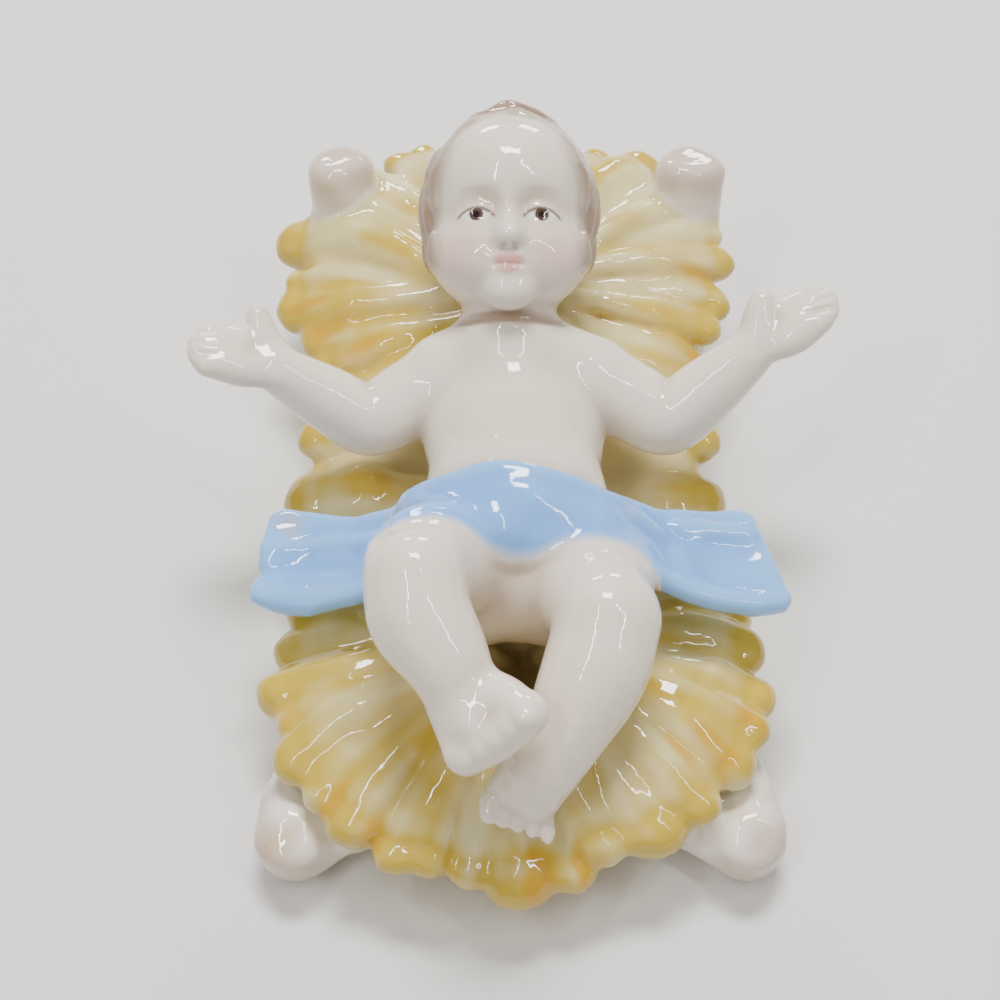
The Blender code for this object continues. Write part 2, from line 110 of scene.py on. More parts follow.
class Clay:
    # a block of distances to the clay's surface, negative inside the clay
    def __init__(self, low, high, grain):
        self.low = np.array(low, np.float32)
        self.grain = grain
        self.size = np.ceil((np.array(high) - self.low) / grain).astype(int) + 1
        self.depth = np.full(self.size, emptyDepth, np.float32)

    def places(self, low=None, high=None):
        # the part of the block between two corners, and where its cells are
        first = np.zeros(3, int)
        last = self.size
        if low is not None:
            first = np.clip(np.floor((low - self.low) / self.grain).astype(int), 0, self.size)
            last = np.clip(np.ceil((high - self.low) / self.grain).astype(int) + 1, 0, self.size)
        part = tuple(slice(a, b) for a, b in zip(first, last))
        steps = [self.low[n] + self.grain * np.arange(first[n], last[n], dtype=np.float32) for n in range(3)]
        return part, np.meshgrid(*steps, indexing="ij", sparse=True)

    def melt(self, lump, blend, dents=False):
        # melts a lump into the clay, or presses it in and takes it out again
        distance, low, high = lump
        margin = blend + 1.5
        part, place = self.places(low - margin, high + margin)
        if dents:
            self.depth[part] = softMax(self.depth[part], -distance(*place), blend)
        else:
            self.depth[part] = softMin(self.depth[part], distance(*place), blend)

    def dent(self, lump, blend):
        self.melt(lump, blend, dents=True)


def ball(middle, radii, turn=None):
    # an egg of clay; turn is a 3 by 3 matrix from its own axes to the block's
    middle = np.array(middle, float)
    radii = np.array(radii, float)
    spin = np.eye(3) if turn is None else np.array(turn)

    def distance(x, y, z):
        x, y, z = x - middle[0], y - middle[1], z - middle[2]
        own = [x * spin[0][n] + y * spin[1][n] + z * spin[2][n] for n in range(3)]
        reach = np.sqrt(sum((own[n] / radii[n]) ** 2 for n in range(3)))
        steep = np.sqrt(sum((own[n] / radii[n] ** 2) ** 2 for n in range(3)))
        return reach * (reach - 1.0) / np.maximum(steep, 1e-4)

    return distance, middle - radii.max(), middle + radii.max()


def through(stations, steps=6):
    # a smooth run of points through the stations
    knots = np.array(stations, float)
    knots = np.vstack([2 * knots[0] - knots[1], knots, 2 * knots[-1] - knots[-2]])
    run = []
    for a, b, c, d in zip(knots, knots[1:], knots[2:], knots[3:]):
        for step in range(steps):
            t = step / steps
            run.append(0.5 * (2 * b + (c - a) * t + (2 * a - 5 * b + 4 * c - d) * t ** 2
                              + (3 * b - a - 3 * c + d) * t ** 3))
    run.append(knots[-2])
    return np.array(run)


def coil(stations):
    # a rolled coil of clay through stations (x, y, z, radius)
    run = through(stations)

    def distance(x, y, z):
        nearest = None
        for start, end in zip(run, run[1:]):
            way = end - start
            length = max(way[:3] @ way[:3], 1e-6)
            share = ((x - start[0]) * way[0] + (y - start[1]) * way[1] + (z - start[2]) * way[2]) / length
            share = np.clip(share, 0.0, 1.0)
            gap = np.sqrt((x - start[0] - share * way[0]) ** 2 + (y - start[1] - share * way[1]) ** 2
                          + (z - start[2] - share * way[2]) ** 2) - start[3] - share * way[3]
            nearest = gap if nearest is None else np.minimum(nearest, gap)
        return nearest

    thick = run[:, 3:4]
    return distance, (run[:, :3] - thick).min(0), (run[:, :3] + thick).max(0)


def outlineGap(x, y, corners):
    # distance, seen from above, to a closed outline, negative inside it
    corners = np.array(corners, float)
    nearest = None
    inside = None
    for (ax, ay), (bx, by) in zip(corners, np.roll(corners, -1, axis=0)):
        dx, dy = bx - ax, by - ay
        share = np.clip(((x - ax) * dx + (y - ay) * dy) / max(dx * dx + dy * dy, 1e-6), 0.0, 1.0)
        gap = np.hypot(x - ax - share * dx, y - ay - share * dy)
        nearest = gap if nearest is None else np.minimum(nearest, gap)
        crosses = ((ay > y) != (by > y)) & (x < (bx - ax) * (y - ay) / (by - ay if by != ay else 1e-6) + ax)
        inside = crosses if inside is None else inside ^ crosses
    return np.where(inside, -nearest, nearest)


def ripple(x, y, z, length, seed):
    # slow unevenness of a hand-finished surface, between about -1 and 1
    dice = np.random.default_rng(seed)
    total = 0.0
    for wave in range(5):
        heading = dice.normal(size=3)
        heading *= 2 * math.pi / (length * dice.uniform(0.7, 1.5) * np.linalg.norm(heading))
        total = total + np.sin(x * heading[0] + y * heading[1] + z * heading[2] + dice.uniform(0, 6.28))
    return total / 3.0


def softened(depth, reach):
    # the block with everything finer than reach cells smoothed away
    for axis in range(3):
        for lap in range(2):
            padded = np.concatenate([np.repeat(depth.take([0], axis), reach + 1, axis), depth,
                                     np.repeat(depth.take([-1], axis), reach, axis)], axis)
            sums = padded.cumsum(axis, dtype=np.float64)
            count = depth.shape[axis]
            ahead = sums.take(range(2 * reach + 1, 2 * reach + 1 + count), axis)
            depth = ((ahead - sums.take(range(count), axis)) / (2 * reach + 1)).astype(np.float32)
    return depth


def readBlock(clay, depth, points):
    # what a block says at any points
    cell = (points - clay.low) / clay.grain
    first = np.clip(np.floor(cell).astype(int), 0, clay.size - 2)
    share = np.clip(cell - first, 0.0, 1.0)
    total = 0.0
    for a in (0, 1):
        for b in (0, 1):
            for c in (0, 1):
                weight = (np.abs(1 - a - share[:, 0]) * np.abs(1 - b - share[:, 1])
                          * np.abs(1 - c - share[:, 2]))
                total = total + weight * depth[first[:, 0] + a, first[:, 1] + b, first[:, 2] + c]
    return total


def fire(name, clay, lift, smoothing):
    # the skin of the clay as an object in the frame, and its points in drawn millimetres
    grid = openvdb.FloatGrid(emptyDepth)
    grid.copyFromArray(np.ascontiguousarray(clay.depth))
    points, quads = grid.convertToQuads()
    points = points * clay.grain + clay.low
    mesh = bpy.data.meshes.new(name)
    mesh.vertices.add(len(points))
    mesh.loops.add(quads.size)
    mesh.polygons.add(len(quads))
    mesh.vertices.foreach_set("co", ((points - drawnMiddle + lift) * mm).astype(np.float32).ravel())
    mesh.loops.foreach_set("vertex_index", quads[:, ::-1].astype(np.int32).ravel())
    mesh.polygons.foreach_set("loop_start", np.arange(0, quads.size, 4, dtype=np.int32))
    mesh.update(calc_edges=True)
    mesh.validate()
    mesh.shade_smooth()
    piece = addObject(name, mesh)
    soften = piece.modifiers.new("sponged", "SMOOTH")
    soften.factor = 0.5
    soften.iterations = smoothing
    return piece, points


def mark(piece, name, values):
    # a value, or three, for each point of the skin
    values = np.asarray(values, np.float32)
    kind, key = ("FLOAT", "value") if values.ndim == 1 else ("FLOAT_VECTOR", "vector")
    layer = piece.data.attributes.new(name, kind, "POINT")
    layer.data.foreach_set(key, values.ravel())


child = {
    "grain": 0.45,
    "block": ((-51.0, -60.0, 12.0), (51.0, 56.0, 64.0)),  # the clay's two corners
    "head": (-1.0, 33.5, 44.5),
    "headTilt": 23.0,  # the crown points this many degrees above the table
    "clothRelief": 1.1,  # how far the loincloth stands off the body
    "clothBox": ((-26.0, -30.0, 13.0), (26.0, -2.0, 52.0)),  # where it hugs the body
    "clothThickness": 2.8,  # where it flies free
    "hairBox": ((-18.0, 14.0, 24.0), (16.0, 55.0, 63.0)),
    "hairRelief": 0.55,
    "hairWaveRelief": 0.22,
    "hairWavePitch": 3.4,  # down the sides of the head
    "hairWaves": 9.0,  # round the crown
    "unevenness": 0.09,
    "unevenLength": 9.0,
    "unevenSeed": 4,
}
bodyMasses = (
    ((-0.4, 5.5, 30.0), (13.4, 12.5, 11.4), 3.0),  # chest
    ((-0.2, 12.5, 30.5), (14.8, 7.5, 8.6), 4.0),  # shoulders
    ((0.0, -6.5, 30.4), (13.2, 11.5, 12.4), 4.0),  # belly
    ((0.0, -14.5, 28.6), (14.4, 9.0, 11.6), 4.0),  # hips
    ((-6.4, -19.5, 25.0), (7.4, 7.0, 7.8), 3.0),
    ((6.4, -19.5, 25.0), (7.4, 7.0, 7.8), 3.0),
    ((0.0, -18.0, 27.6), (8.0, 8.0, 9.0), 3.0),  # between the thighs
)
limbs = (
    (((-5.0, 17.0, 37.0, 4.6), (-11.0, 14.6, 34.0, 5.0)), 3.0),  # slopes of the shoulders
    (((3.6, 16.8, 37.0, 4.6), (11.4, 14.0, 34.0, 5.2)), 3.0),
    (((-0.9, 13.0, 34.0, 7.6), (-1.0, 20.0, 39.0, 6.9), (-1.0, 25.0, 42.0, 7.0)), 2.0),  # neck
    (((-10.5, 13.8, 32.4, 6.4), (-16.0, 10.8, 31.4, 5.9), (-21.8, 7.8, 30.8, 5.5),
      (-27.5, 8.9, 34.2, 4.8), (-33.4, 10.4, 38.2, 3.8)), 1.6),
    (((11.8, 13.2, 32.4, 6.4), (17.4, 10.4, 31.4, 5.9), (22.6, 8.0, 30.8, 5.5),
      (28.2, 10.4, 34.6, 4.8), (33.6, 13.6, 38.2, 3.8)), 1.6),
    (((-7.2, -14.0, 29.0, 9.4), (-10.4, -20.5, 36.2, 8.4), (-13.2, -27.2, 43.6, 6.6)), 2.5),
    (((-13.3, -27.6, 43.8, 6.6), (-12.4, -32.4, 42.6, 6.9), (-9.0, -37.8, 40.8, 5.7),
      (-6.6, -42.0, 38.0, 4.6)), 1.5),
    (((7.4, -14.5, 28.0, 9.4), (10.2, -22.0, 32.6, 8.4), (12.2, -29.6, 37.6, 6.9)), 2.5),
    (((12.3, -30.2, 37.6, 6.8), (10.5, -36.2, 35.2, 7.1), (6.8, -42.6, 31.2, 5.7),
      (4.2, -46.6, 28.0, 4.6)), 1.5),
)
feet = (
    (((-6.4, -42.2, 38.0, 4.6), (-5.2, -45.0, 38.4, 4.1), (-3.9, -47.0, 38.8, 3.0)), 1.4),  # raised foot
    (((-7.0, -42.6, 37.4, 4.2), (-7.0, -46.0, 36.4, 3.2), (-6.8, -48.4, 35.9, 2.5)), 1.2),
    (((-5.0, -42.2, 38.8, 4.4), (-1.6, -43.8, 40.6, 3.5), (0.9, -45.4, 41.8, 2.6)), 1.2),
    (((-6.3, -48.8, 36.0, 2.9), (-2.8, -48.0, 38.8, 3.1), (1.0, -46.0, 42.0, 3.1)), 0.7),
    (((4.2, -46.0, 25.6, 4.3), (2.8, -49.2, 24.0, 3.5), (1.8, -50.4, 23.0, 2.3)), 1.6),  # lower foot
    (((2.2, -46.4, 27.0, 4.4), (-0.6, -48.4, 24.8, 3.0), (-1.9, -48.9, 24.3, 1.9)), 1.6),
    (((-2.4, -48.6, 23.8, 1.7), (0.8, -50.4, 22.4, 1.7), (3.7, -52.0, 21.0, 1.6)), 1.2),
)
# toes as (the big one, the little one, which way they point), length, girth and how far they melt together
toeRows = (
    (((1.2, -46.9, 43.3), (-6.2, -50.1, 37.3), (0.05, -0.74, 0.67)), 0.7, 1.0, 0.9),
    (((-3.4, -50.4, 24.3), (4.3, -53.3, 21.5), (-0.12, -0.97, -0.20)), 1.6, 0.76, 0.3),
)
toeGirths = (2.1, 1.75, 1.65, 1.6, 1.5)
palms = (
    ((-39.4, 11.0, 41.6), (6.2, 4.7, 2.7), 20.0, -6.0),  # middle, radii, lean outwards, swing to the head
    ((39.4, 16.4, 41.6), (6.2, 4.7, 2.7), -20.0, 22.0),
)
fingers = (
    ((-35.4, 12.2, 40.0, 2.8), (-36.8, 15.0, 42.0, 2.2), (-37.6, 17.3, 43.3, 1.75)),  # thumb
    ((-39.8, 13.2, 42.2, 1.9), (-42.8, 13.7, 43.3, 1.8), (-44.5, 13.3, 43.8, 1.6)),
    ((-40.2, 11.7, 42.4, 1.9), (-43.7, 11.9, 43.6, 1.8), (-45.5, 11.6, 44.1, 1.6)),
    ((-40.2, 10.0, 42.2, 1.9), (-43.7, 9.8, 43.5, 1.8), (-45.3, 9.6, 44.0, 1.6)),
    ((-39.8, 8.5, 41.8, 1.8), (-42.6, 8.2, 42.9, 1.7), (-44.1, 8.0, 43.4, 1.5)),
    ((35.1, 15.6, 40.0, 2.8), (35.5, 18.1, 42.1, 2.3), (36.1, 20.1, 43.4, 1.75)),  # thumb
    ((39.6, 18.7, 42.2, 1.9), (42.2, 20.2, 43.2, 1.8), (43.8, 20.8, 43.7, 1.55)),
    ((40.4, 17.3, 42.4, 1.9), (43.3, 18.9, 43.5, 1.8), (45.3, 19.7, 44.0, 1.6)),
    ((40.4, 15.8, 42.2, 1.9), (43.6, 17.1, 43.4, 1.8), (45.4, 17.8, 43.8, 1.55)),
    ((40.0, 14.3, 41.8, 1.8), (43.0, 15.4, 43.0, 1.7), (44.5, 16.1, 43.4, 1.45)),
)
neckCrease = ((-8.4, 18.4, 40.4, 0.6), (-5.0, 17.0, 43.0, 0.7), (-1.0, 16.6, 44.2, 0.7),
              (3.2, 17.0, 43.0, 0.7), (6.6, 18.4, 40.4, 0.6))
# the short grooves that part the finger tips
fingerGrooves = (
    ((-42.4, 12.9, 45.4, 0.3), (-46.6, 12.7, 45.6, 0.5)),
    ((-42.8, 10.8, 45.6, 0.3), (-47.2, 10.6, 45.8, 0.5)),
    ((-42.2, 8.9, 45.2, 0.3), (-46.2, 8.7, 45.4, 0.5)),
    ((42.2, 19.7, 45.2, 0.3), (46.0, 21.0, 45.4, 0.5)),
    ((42.6, 18.1, 45.4, 0.3), (47.0, 19.6, 45.6, 0.5)),
    ((42.2, 16.4, 45.0, 0.3), (46.4, 17.6, 45.2, 0.5)),
)
# the head's own axes: across, towards the crown, towards the face
headMasses = (
    ((0.0, 2.9, -0.6), (12.7, 14.0, 14.4), 1.0),  # skull
    ((0.0, -6.4, 3.0), (10.4, 8.9, 10.2), 3.5),  # jaw
    ((-5.8, -7.2, 6.6), (5.4, 5.0, 4.9), 2.5),  # cheeks
    ((5.8, -7.2, 6.6), (5.4, 5.0, 4.9), 2.5),
    ((0.0, 5.4, 7.0), (9.6, 7.6, 6.7), 3.0),  # forehead
    ((0.0, -9.4, 9.7), (3.5, 2.6, 2.5), 2.0),  # round the mouth
    ((0.0, -12.9, 8.6), (3.0, 2.3, 2.8), 2.2),  # chin
)
# locks of hair: one side's, which is mirrored, and those over the crown
sideHair = (
    ((9.6, 8.5, 5.2, 1.0), (10.7, 3.2, 4.8, 1.2), (10.8, -1.8, 3.6, 1.1), (10.0, -5.0, 2.4, 0.7)),
    ((11.0, 7.0, 0.6, 1.0), (11.6, 1.8, 0.4, 1.2), (11.2, -3.4, -0.6, 0.9)),
)
crownHair = (
    ((-4.0, 14.8, 4.4, 0.9), (-0.8, 16.2, 3.8, 1.3), (2.4, 16.4, 2.6, 1.3), (5.4, 15.0, 1.4, 0.9)),
    ((-6.4, 13.2, 2.4, 0.9), (-3.4, 15.6, 1.2, 1.3), (0.4, 16.8, -0.4, 1.3)),
)
# the loincloth's upper hem, as y where x is, and its lower one, as the height in view from the front above
upperHem = ((-22.0, -8.6), (-15.0, -9.2), (-9.0, -9.5), (-2.0, -9.0), (5.5, -10.0), (12.6, -10.6),
            (20.0, -8.6))
lowerHem = ((-26.0, -4.5), (-21.0, -3.6), (-18.0, -2.2), (-15.5, 3.4), (-13.0, 5.8), (-11.0, 6.2),
            (-7.5, 4.4), (-3.5, 2.5), (-0.9, 1.9), (2.2, 2.1), (5.4, 3.8), (10.2, 4.8), (14.6, 4.0),
            (17.6, 2.2), (19.6, -0.8), (22.0, -2.6), (26.0, -4.2))
# how far along the thighs the loincloth reaches at the most, as y where x is
hemReach = ((-26.0, -27.0), (-21.0, -26.5), (-19.4, -25.5), (-17.4, -22.4), (-13.0, -20.8), (-8.0, -20.6),
            (-4.0, -22.6), (3.0, -22.6), (7.0, -21.0), (13.0, -21.0), (17.0, -21.4), (18.8, -25.5),
            (21.0, -27.5), (26.0, -28.0))
# the free ends: their outline from above, and their height where x is, at the upper and at the lower edge
clothEnds = (
    {"outline": ((-10, -9.8), (-16, -9.3), (-22.5, -8.7), (-29, -6.8), (-33.6, -6.2), (-36.0, -7.4),
                 (-36.9, -11.0), (-37.3, -15.4), (-36.6, -16.8), (-38.2, -18.6), (-38.0, -21.0),
                 (-34.5, -23.0), (-29, -24.0), (-22.5, -23.2), (-16, -21.8), (-10, -19.0)),
     "upper": ((-38.2, 27.6), (-34.5, 28.2), (-29, 27.8), (-22.5, 29.6), (-16, 34.0), (-11, 38.0)),
     "lower": ((-38.2, 26.2), (-34.5, 26.4), (-29, 27.4), (-22.5, 29.4), (-16, 33.0), (-11, 37.0))},
    {"outline": ((10, -10.8), (16, -9.9), (21, -8.3), (27.4, -7.0), (32.4, -6.6), (34.6, -7.8), (36.4, -13.0),
                 (38.4, -18.4), (39.2, -21.6), (38.0, -23.4), (33.2, -24.2), (27.4, -23.8), (21, -22.6),
                 (16, -21.6), (10, -19.0)),
     "upper": ((11, 38.5), (16, 34.4), (21, 30.6), (27.4, 28.8), (33.2, 28.2), (39, 28.0)),
     "lower": ((11, 38.0), (16, 35.5), (21, 32.0), (27.4, 29.2), (33.2, 28.0), (39, 27.4))},
)
# folds raised in the cloth, and folds pressed in, as coils
raisedFolds = (
    ((-15.0, -9.4, 35.6, 0.8), (-9.0, -9.6, 40.4, 1.0), (-2.0, -9.2, 43.0, 1.0), (5.5, -10.2, 42.0, 1.0),
     (12.6, -10.8, 37.6, 0.9), (18.0, -9.4, 32.6, 0.7)),
    ((-17.0, -15.0, 34.2, 0.8), (-24.0, -13.4, 30.0, 1.2), (-31.0, -12.8, 28.6, 1.3),
     (-35.4, -12.8, 27.9, 0.9)),
    ((-19.0, -21.4, 31.6, 0.9), (-28.0, -21.4, 28.4, 1.2), (-36.0, -20.2, 27.2, 1.0)),
    ((16.0, -12.6, 36.0, 0.8), (20.4, -13.4, 32.6, 1.2), (24.0, -11.6, 30.8, 1.2), (33.0, -11.6, 29.4, 1.1)),
    ((18.0, -21.0, 34.8, 0.9), (25.0, -22.0, 31.0, 1.2), (33.0, -22.6, 29.2, 1.2), (37.4, -21.4, 28.4, 0.9)),
)
pressedFolds = (
    ((-39.0, -17.0, 28.6, 1.0), (-33.6, -16.8, 29.4, 0.9), (-27.0, -17.2, 29.9, 0.7),
     (-21.0, -18.0, 32.4, 0.4)),
    ((-34.4, -9.6, 30.6, 1.0), (-31.4, -9.4, 30.5, 1.5), (-28.6, -10.4, 30.6, 0.8)),
    ((15.6, -9.8, 37.4, 0.5), (19.6, -11.2, 34.0, 0.8), (24.0, -14.4, 32.2, 0.7), (29.0, -16.8, 31.2, 0.4)),
)
clothSwell = ((0.2, -13.2, 31.6), (14.4, 8.6, 11.7))  # the cloth is fuller in front
# shallow dishes in the free ends
clothDishes = (((-32.8, -10.6, 31.4), (4.6, 3.2, 2.3)), ((31.4, -16.6, 32.4), (6.6, 4.0, 2.7)))


def between(value, knots):
    knots = np.array(knots, float)
    return np.interp(value, knots[:, 0], knots[:, 1])


def lowerHemGap(x, y, z):
    # how far a place lies below the lower hem, seen from the front above; negative on the cloth
    rise = math.radians(camera["elevation"])
    seen = between(x, lowerHem) - (y * math.sin(rise) + z * math.cos(rise))
    return softMax(seen, between(x, hemReach) - y, 1.0)


def headAxes(facts):
    # columns: across, towards the crown, towards the face
    tilt = math.radians(facts["headTilt"])
    return np.array(((1, 0, 0), (0, math.cos(tilt), -math.sin(tilt)), (0, math.sin(tilt), math.cos(tilt))))


def intoBlock(facts, stations):
    axes = headAxes(facts)
    return [(*(np.array(facts["head"]) + axes @ np.array(s[:3])), *s[3:]) for s in stations]


def inHead(facts, x, y, z):
    # places in the block as places in the head's own axes
    axes = headAxes(facts)
    x, y, z = x - facts["head"][0], y - facts["head"][1], z - facts["head"][2]
    return [x * axes[0][n] + y * axes[1][n] + z * axes[2][n] for n in range(3)]


# the face, in the head's own axes: a calm infant's, its eyes below the middle and its features small
infantFace = {
    "eye": (4.7, -2.4),
    "eyeHalf": (1.95, 0.95),
    "noseTip": -5.9,
    "mouth": -9.7,
}


def modelHead(low, high, facts, face):
    head = Clay(low, high, facts["grain"])
    axes = headAxes(facts)
    eyeX, eyeY = face["eye"]
    nose, mouth = face["noseTip"], face["mouth"]

    def lump(middle, radii, blend, cut=False):
        work = head.dent if cut else head.melt
        work(ball(intoBlock(facts, [middle])[0], radii, axes), blend)

    def roll(stations, blend, cut=False):
        work = head.dent if cut else head.melt
        work(coil(intoBlock(facts, stations)), blend)

    for middle, radii, blend in headMasses:
        lump(middle, radii, blend)
    # bridge of the nose
    roll(((0.0, nose + 4.6, 12.2, 1.2), (0.0, nose + 1.6, 12.9, 1.3), (0.0, nose + 0.6, 13.3, 1.5)), 2.0)
    for side in (-1, 1):
        lump((side * eyeX, eyeY + 0.5, 14.3), (3.5, 2.2, 2.4), 2.8, cut=True)  # eye socket
        lump((side * eyeX, eyeY, 10.0), (2.5, 1.8, 2.0), 0.8)  # eyeball
        lump((side * 11.1, -3.2, -1.4), (1.4, 3.2, 2.2), 1.0)  # ear
        lump((side * 13.0, -3.0, -0.6), (1.4, 1.9, 1.3), 0.8, cut=True)
        # upper lid, lower lid, wing of the nose, nostril, half the upper lip
        roll(((side * (eyeX - 2.3), eyeY + 0.1, 11.6, 0.28), (side * (eyeX - 1.0), eyeY + 1.25, 11.95, 0.4),
              (side * (eyeX + 0.6), eyeY + 1.35, 11.7, 0.4),
              (side * (eyeX + 2.4), eyeY + 0.2, 10.6, 0.28)), 0.8)
        roll(((side * (eyeX - 1.9), eyeY - 1.0, 11.6, 0.26), (side * eyeX, eyeY - 1.6, 11.6, 0.3),
              (side * (eyeX + 1.9), eyeY - 0.9, 10.9, 0.26)), 1.0)
        lump((side * 1.35, nose - 0.5, 12.5), (1.0, 0.9, 1.0), 0.9)
        lump((side * 0.75, nose - 1.6, 13.1), (0.35, 0.35, 0.5), 0.6, cut=True)
        roll(((0.0, mouth + 0.62, 12.35, 0.55), (side * 0.9, mouth + 0.75, 12.2, 0.58),
              (side * 2.0, mouth + 0.1, 11.5, 0.3)), 0.7)
    lump((0.0, nose, 13.5), (1.75, 1.45, 1.7), 1.0)  # tip of the nose
    lump((0.0, mouth - 3.3, 9.8), (2.7, 1.7, 1.4), 2.6)  # chin
    # lower lip, and the line between the lips
    roll(((-1.6, mouth - 0.5, 11.7, 0.4), (0.0, mouth - 0.85, 12.05, 0.75),
          (1.6, mouth - 0.5, 11.7, 0.4)), 0.7)
    roll(((-2.1, mouth, 12.2, 0.16), (0.0, mouth - 0.05, 13.2, 0.2), (2.1, mouth, 12.2, 0.16)), 0.5, cut=True)
    for stations in sideHair:
        for side in (-1, 1):
            roll([(side * across, *rest) for across, *rest in stations], 1.0)
    for stations in crownHair:
        roll(stations, 1.0)
    return head


# the hair starts outside a squarish oval round the face, and ends at the nape
hairline = {"halfWidth": 10.3, "height": 17.8, "middle": -4.0, "squareness": 2.6, "behind": 1.5, "nape": -9.0}


def hairGap(across, crown, face, edge=hairline):
    # how far a place of the head lies inside the hair
    power = edge["squareness"]
    wide = np.abs(across) / edge["halfWidth"]
    tall = np.maximum(crown - edge["middle"], 0.0) / edge["height"]
    around = ((wide ** power + tall ** power) ** (1 / power) - 1.0) * edge["halfWidth"]
    return np.minimum(softMax(around, edge["behind"] - face, 1.0), crown - edge["nape"])


def modelChild(facts):
    low, high = facts["block"]
    skin = Clay(low, high, facts["grain"])
    for middle, radii, blend in bodyMasses:
        skin.melt(ball(middle, radii), blend)
    for stations, blend in limbs + feet:
        skin.melt(coil(stations), blend)
    for (big, little, heading), toeLength, toeScale, toeBlend in toeRows:
        for number, girth in enumerate(toeGirths):
            share = number / (len(toeGirths) - 1)
            root = np.array(big) + (np.array(little) - np.array(big)) * share
            tip = root + np.array(heading) * toeLength * (1.0 - 0.4 * share)
            skin.melt(coil(((*root, toeScale * girth), (*tip, 0.85 * toeScale * girth))), toeBlend)
    for middle, radii, lean, swing in palms:
        turn = Matrix.Rotation(math.radians(swing), 3, "Z") @ Matrix.Rotation(math.radians(lean), 3, "Y")
        skin.melt(ball(middle, radii, turn), 2.0)
        hollow = np.array(middle) + np.array(turn) @ np.array((math.copysign(1.2, middle[0]), 0.0, 4.4))
        skin.dent(ball(hollow, (3.6, 3.2, 2.4), turn), 1.6)
    for stations in fingers:
        skin.melt(coil(stations), 1.2)
    for stations in fingerGrooves:
        skin.dent(coil(stations), 0.6)
    skin.depth = softMin(skin.depth, modelHead(low, high, facts, infantFace).depth, 0.8)
    skin.dent(coil(neckCrease), 1.0)
    print("skin modelled")

    # the hair stands a little proud of the skull, combed into low waves
    part, place = skin.places(*np.array(facts["hairBox"]))
    across, crown, face = inHead(facts, *place)
    aroundCrown = np.sin(facts["hairWaves"] * np.arctan2(across + 2.0, face + 5.0) + 0.35 * crown)
    downSides = np.sin(2 * math.pi * face / facts["hairWavePitch"] + 0.8 * np.sin(0.5 * crown))
    combed = np.where(crown > 6.0, aroundCrown, downSides)
    hairy = np.clip(hairGap(across, crown, face) / 0.9, 0.0, 1.0)
    skin.depth[part] -= hairy * (facts["hairRelief"] + facts["hairWaveRelief"] * combed)

    # the loincloth hugs the belly and the hips between its two hems, and flies out at both sides
    cloth = Clay(low, high, facts["grain"])
    part, (x, y, z) = cloth.places(*np.array(facts["clothBox"]))
    belowHem = lowerHemGap(x, y, z)
    hems = softMax(y - between(x, upperHem), belowHem, 0.8)
    gather = 0.25 * np.sin(y * 0.9 + 2.2 * np.sin(x * 0.16)) * np.clip((y + 20.0) / 4.0, 0.0, 1.0)
    relief = facts["clothRelief"] * np.clip(0.15 - belowHem / 4.0, 0.15, 1.0)
    drape = softened(skin.depth, 3)[part] - relief - gather
    cloth.depth[part] = softMax(drape, hems, 0.9)
    cloth.melt(ball(*clothSwell), 3.0)
    cloth.depth[part] = softMax(cloth.depth[part], hems, 0.8)
    for end in clothEnds:
        corners = np.array(end["outline"])
        part, (x, y, z) = cloth.places(np.array((*(corners.min(0) - 3), 20.0)),
                                       np.array((*(corners.max(0) + 3), 46.0)))
        share = np.clip((-7.0 - y) / 16.0, 0.0, 1.0)
        level = between(x, end["upper"]) * (1.0 - share) + between(x, end["lower"]) * share
        slope = np.gradient(level, facts["grain"], axis=0)
        sheet = np.abs(z - level) / np.sqrt(1.0 + slope ** 2) - facts["clothThickness"] / 2
        slab = softMax(sheet, outlineGap(x, y, corners) + 0.3, 1.6)
        cloth.depth[part] = softMin(cloth.depth[part], slab, 2.2)
    for stations in raisedFolds:
        cloth.melt(coil(stations), 1.5)
    for stations in pressedFolds:
        cloth.dent(coil(stations), 1.2)
    for middle, radii in clothDishes:
        cloth.dent(ball(middle, radii), 1.6)
    print("loincloth draped")

    part, place = skin.places()
    uneven = facts["unevenness"] * ripple(*place, facts["unevenLength"], facts["unevenSeed"])
    skin.depth += uneven
    cloth.depth += 1.6 * uneven
    whole = Clay(low, high, facts["grain"])
    whole.depth = softMin(skin.depth, cloth.depth, 0.9)
    piece, points = fire("infantFigure", whole, childDrop, 2)
    mark(piece, "clothGap", readBlock(skin, skin.depth, points) - readBlock(cloth, cloth.depth, points))
    aboveHem = -lowerHemGap(points[:, 0], points[:, 1], points[:, 2])
    mark(piece, "hemGap", np.where(np.abs(points[:, 0]) < 20.0, aboveHem, 9.0))
    own = np.stack(inHead(facts, points[:, 0], points[:, 1], points[:, 2]), 1)
    mark(piece, "headPlace", own)
    inHeadBox = (np.abs(own[:, 0]) < 16) & (own[:, 1] > -14) & (np.abs(own[:, 2]) < 18)
    mark(piece, "hairGap", np.where(inHeadBox, hairGap(own[:, 0], own[:, 1], own[:, 2]), -5.0))
    mark(piece, "hollow", readBlock(whole, softened(whole.depth, 3), points))
    mark(piece, "drawnPlace", points)
    return piece, whole


childPiece, childClay = modelChild(child)
print("child fired:", len(childPiece.data.polygons), "faces")

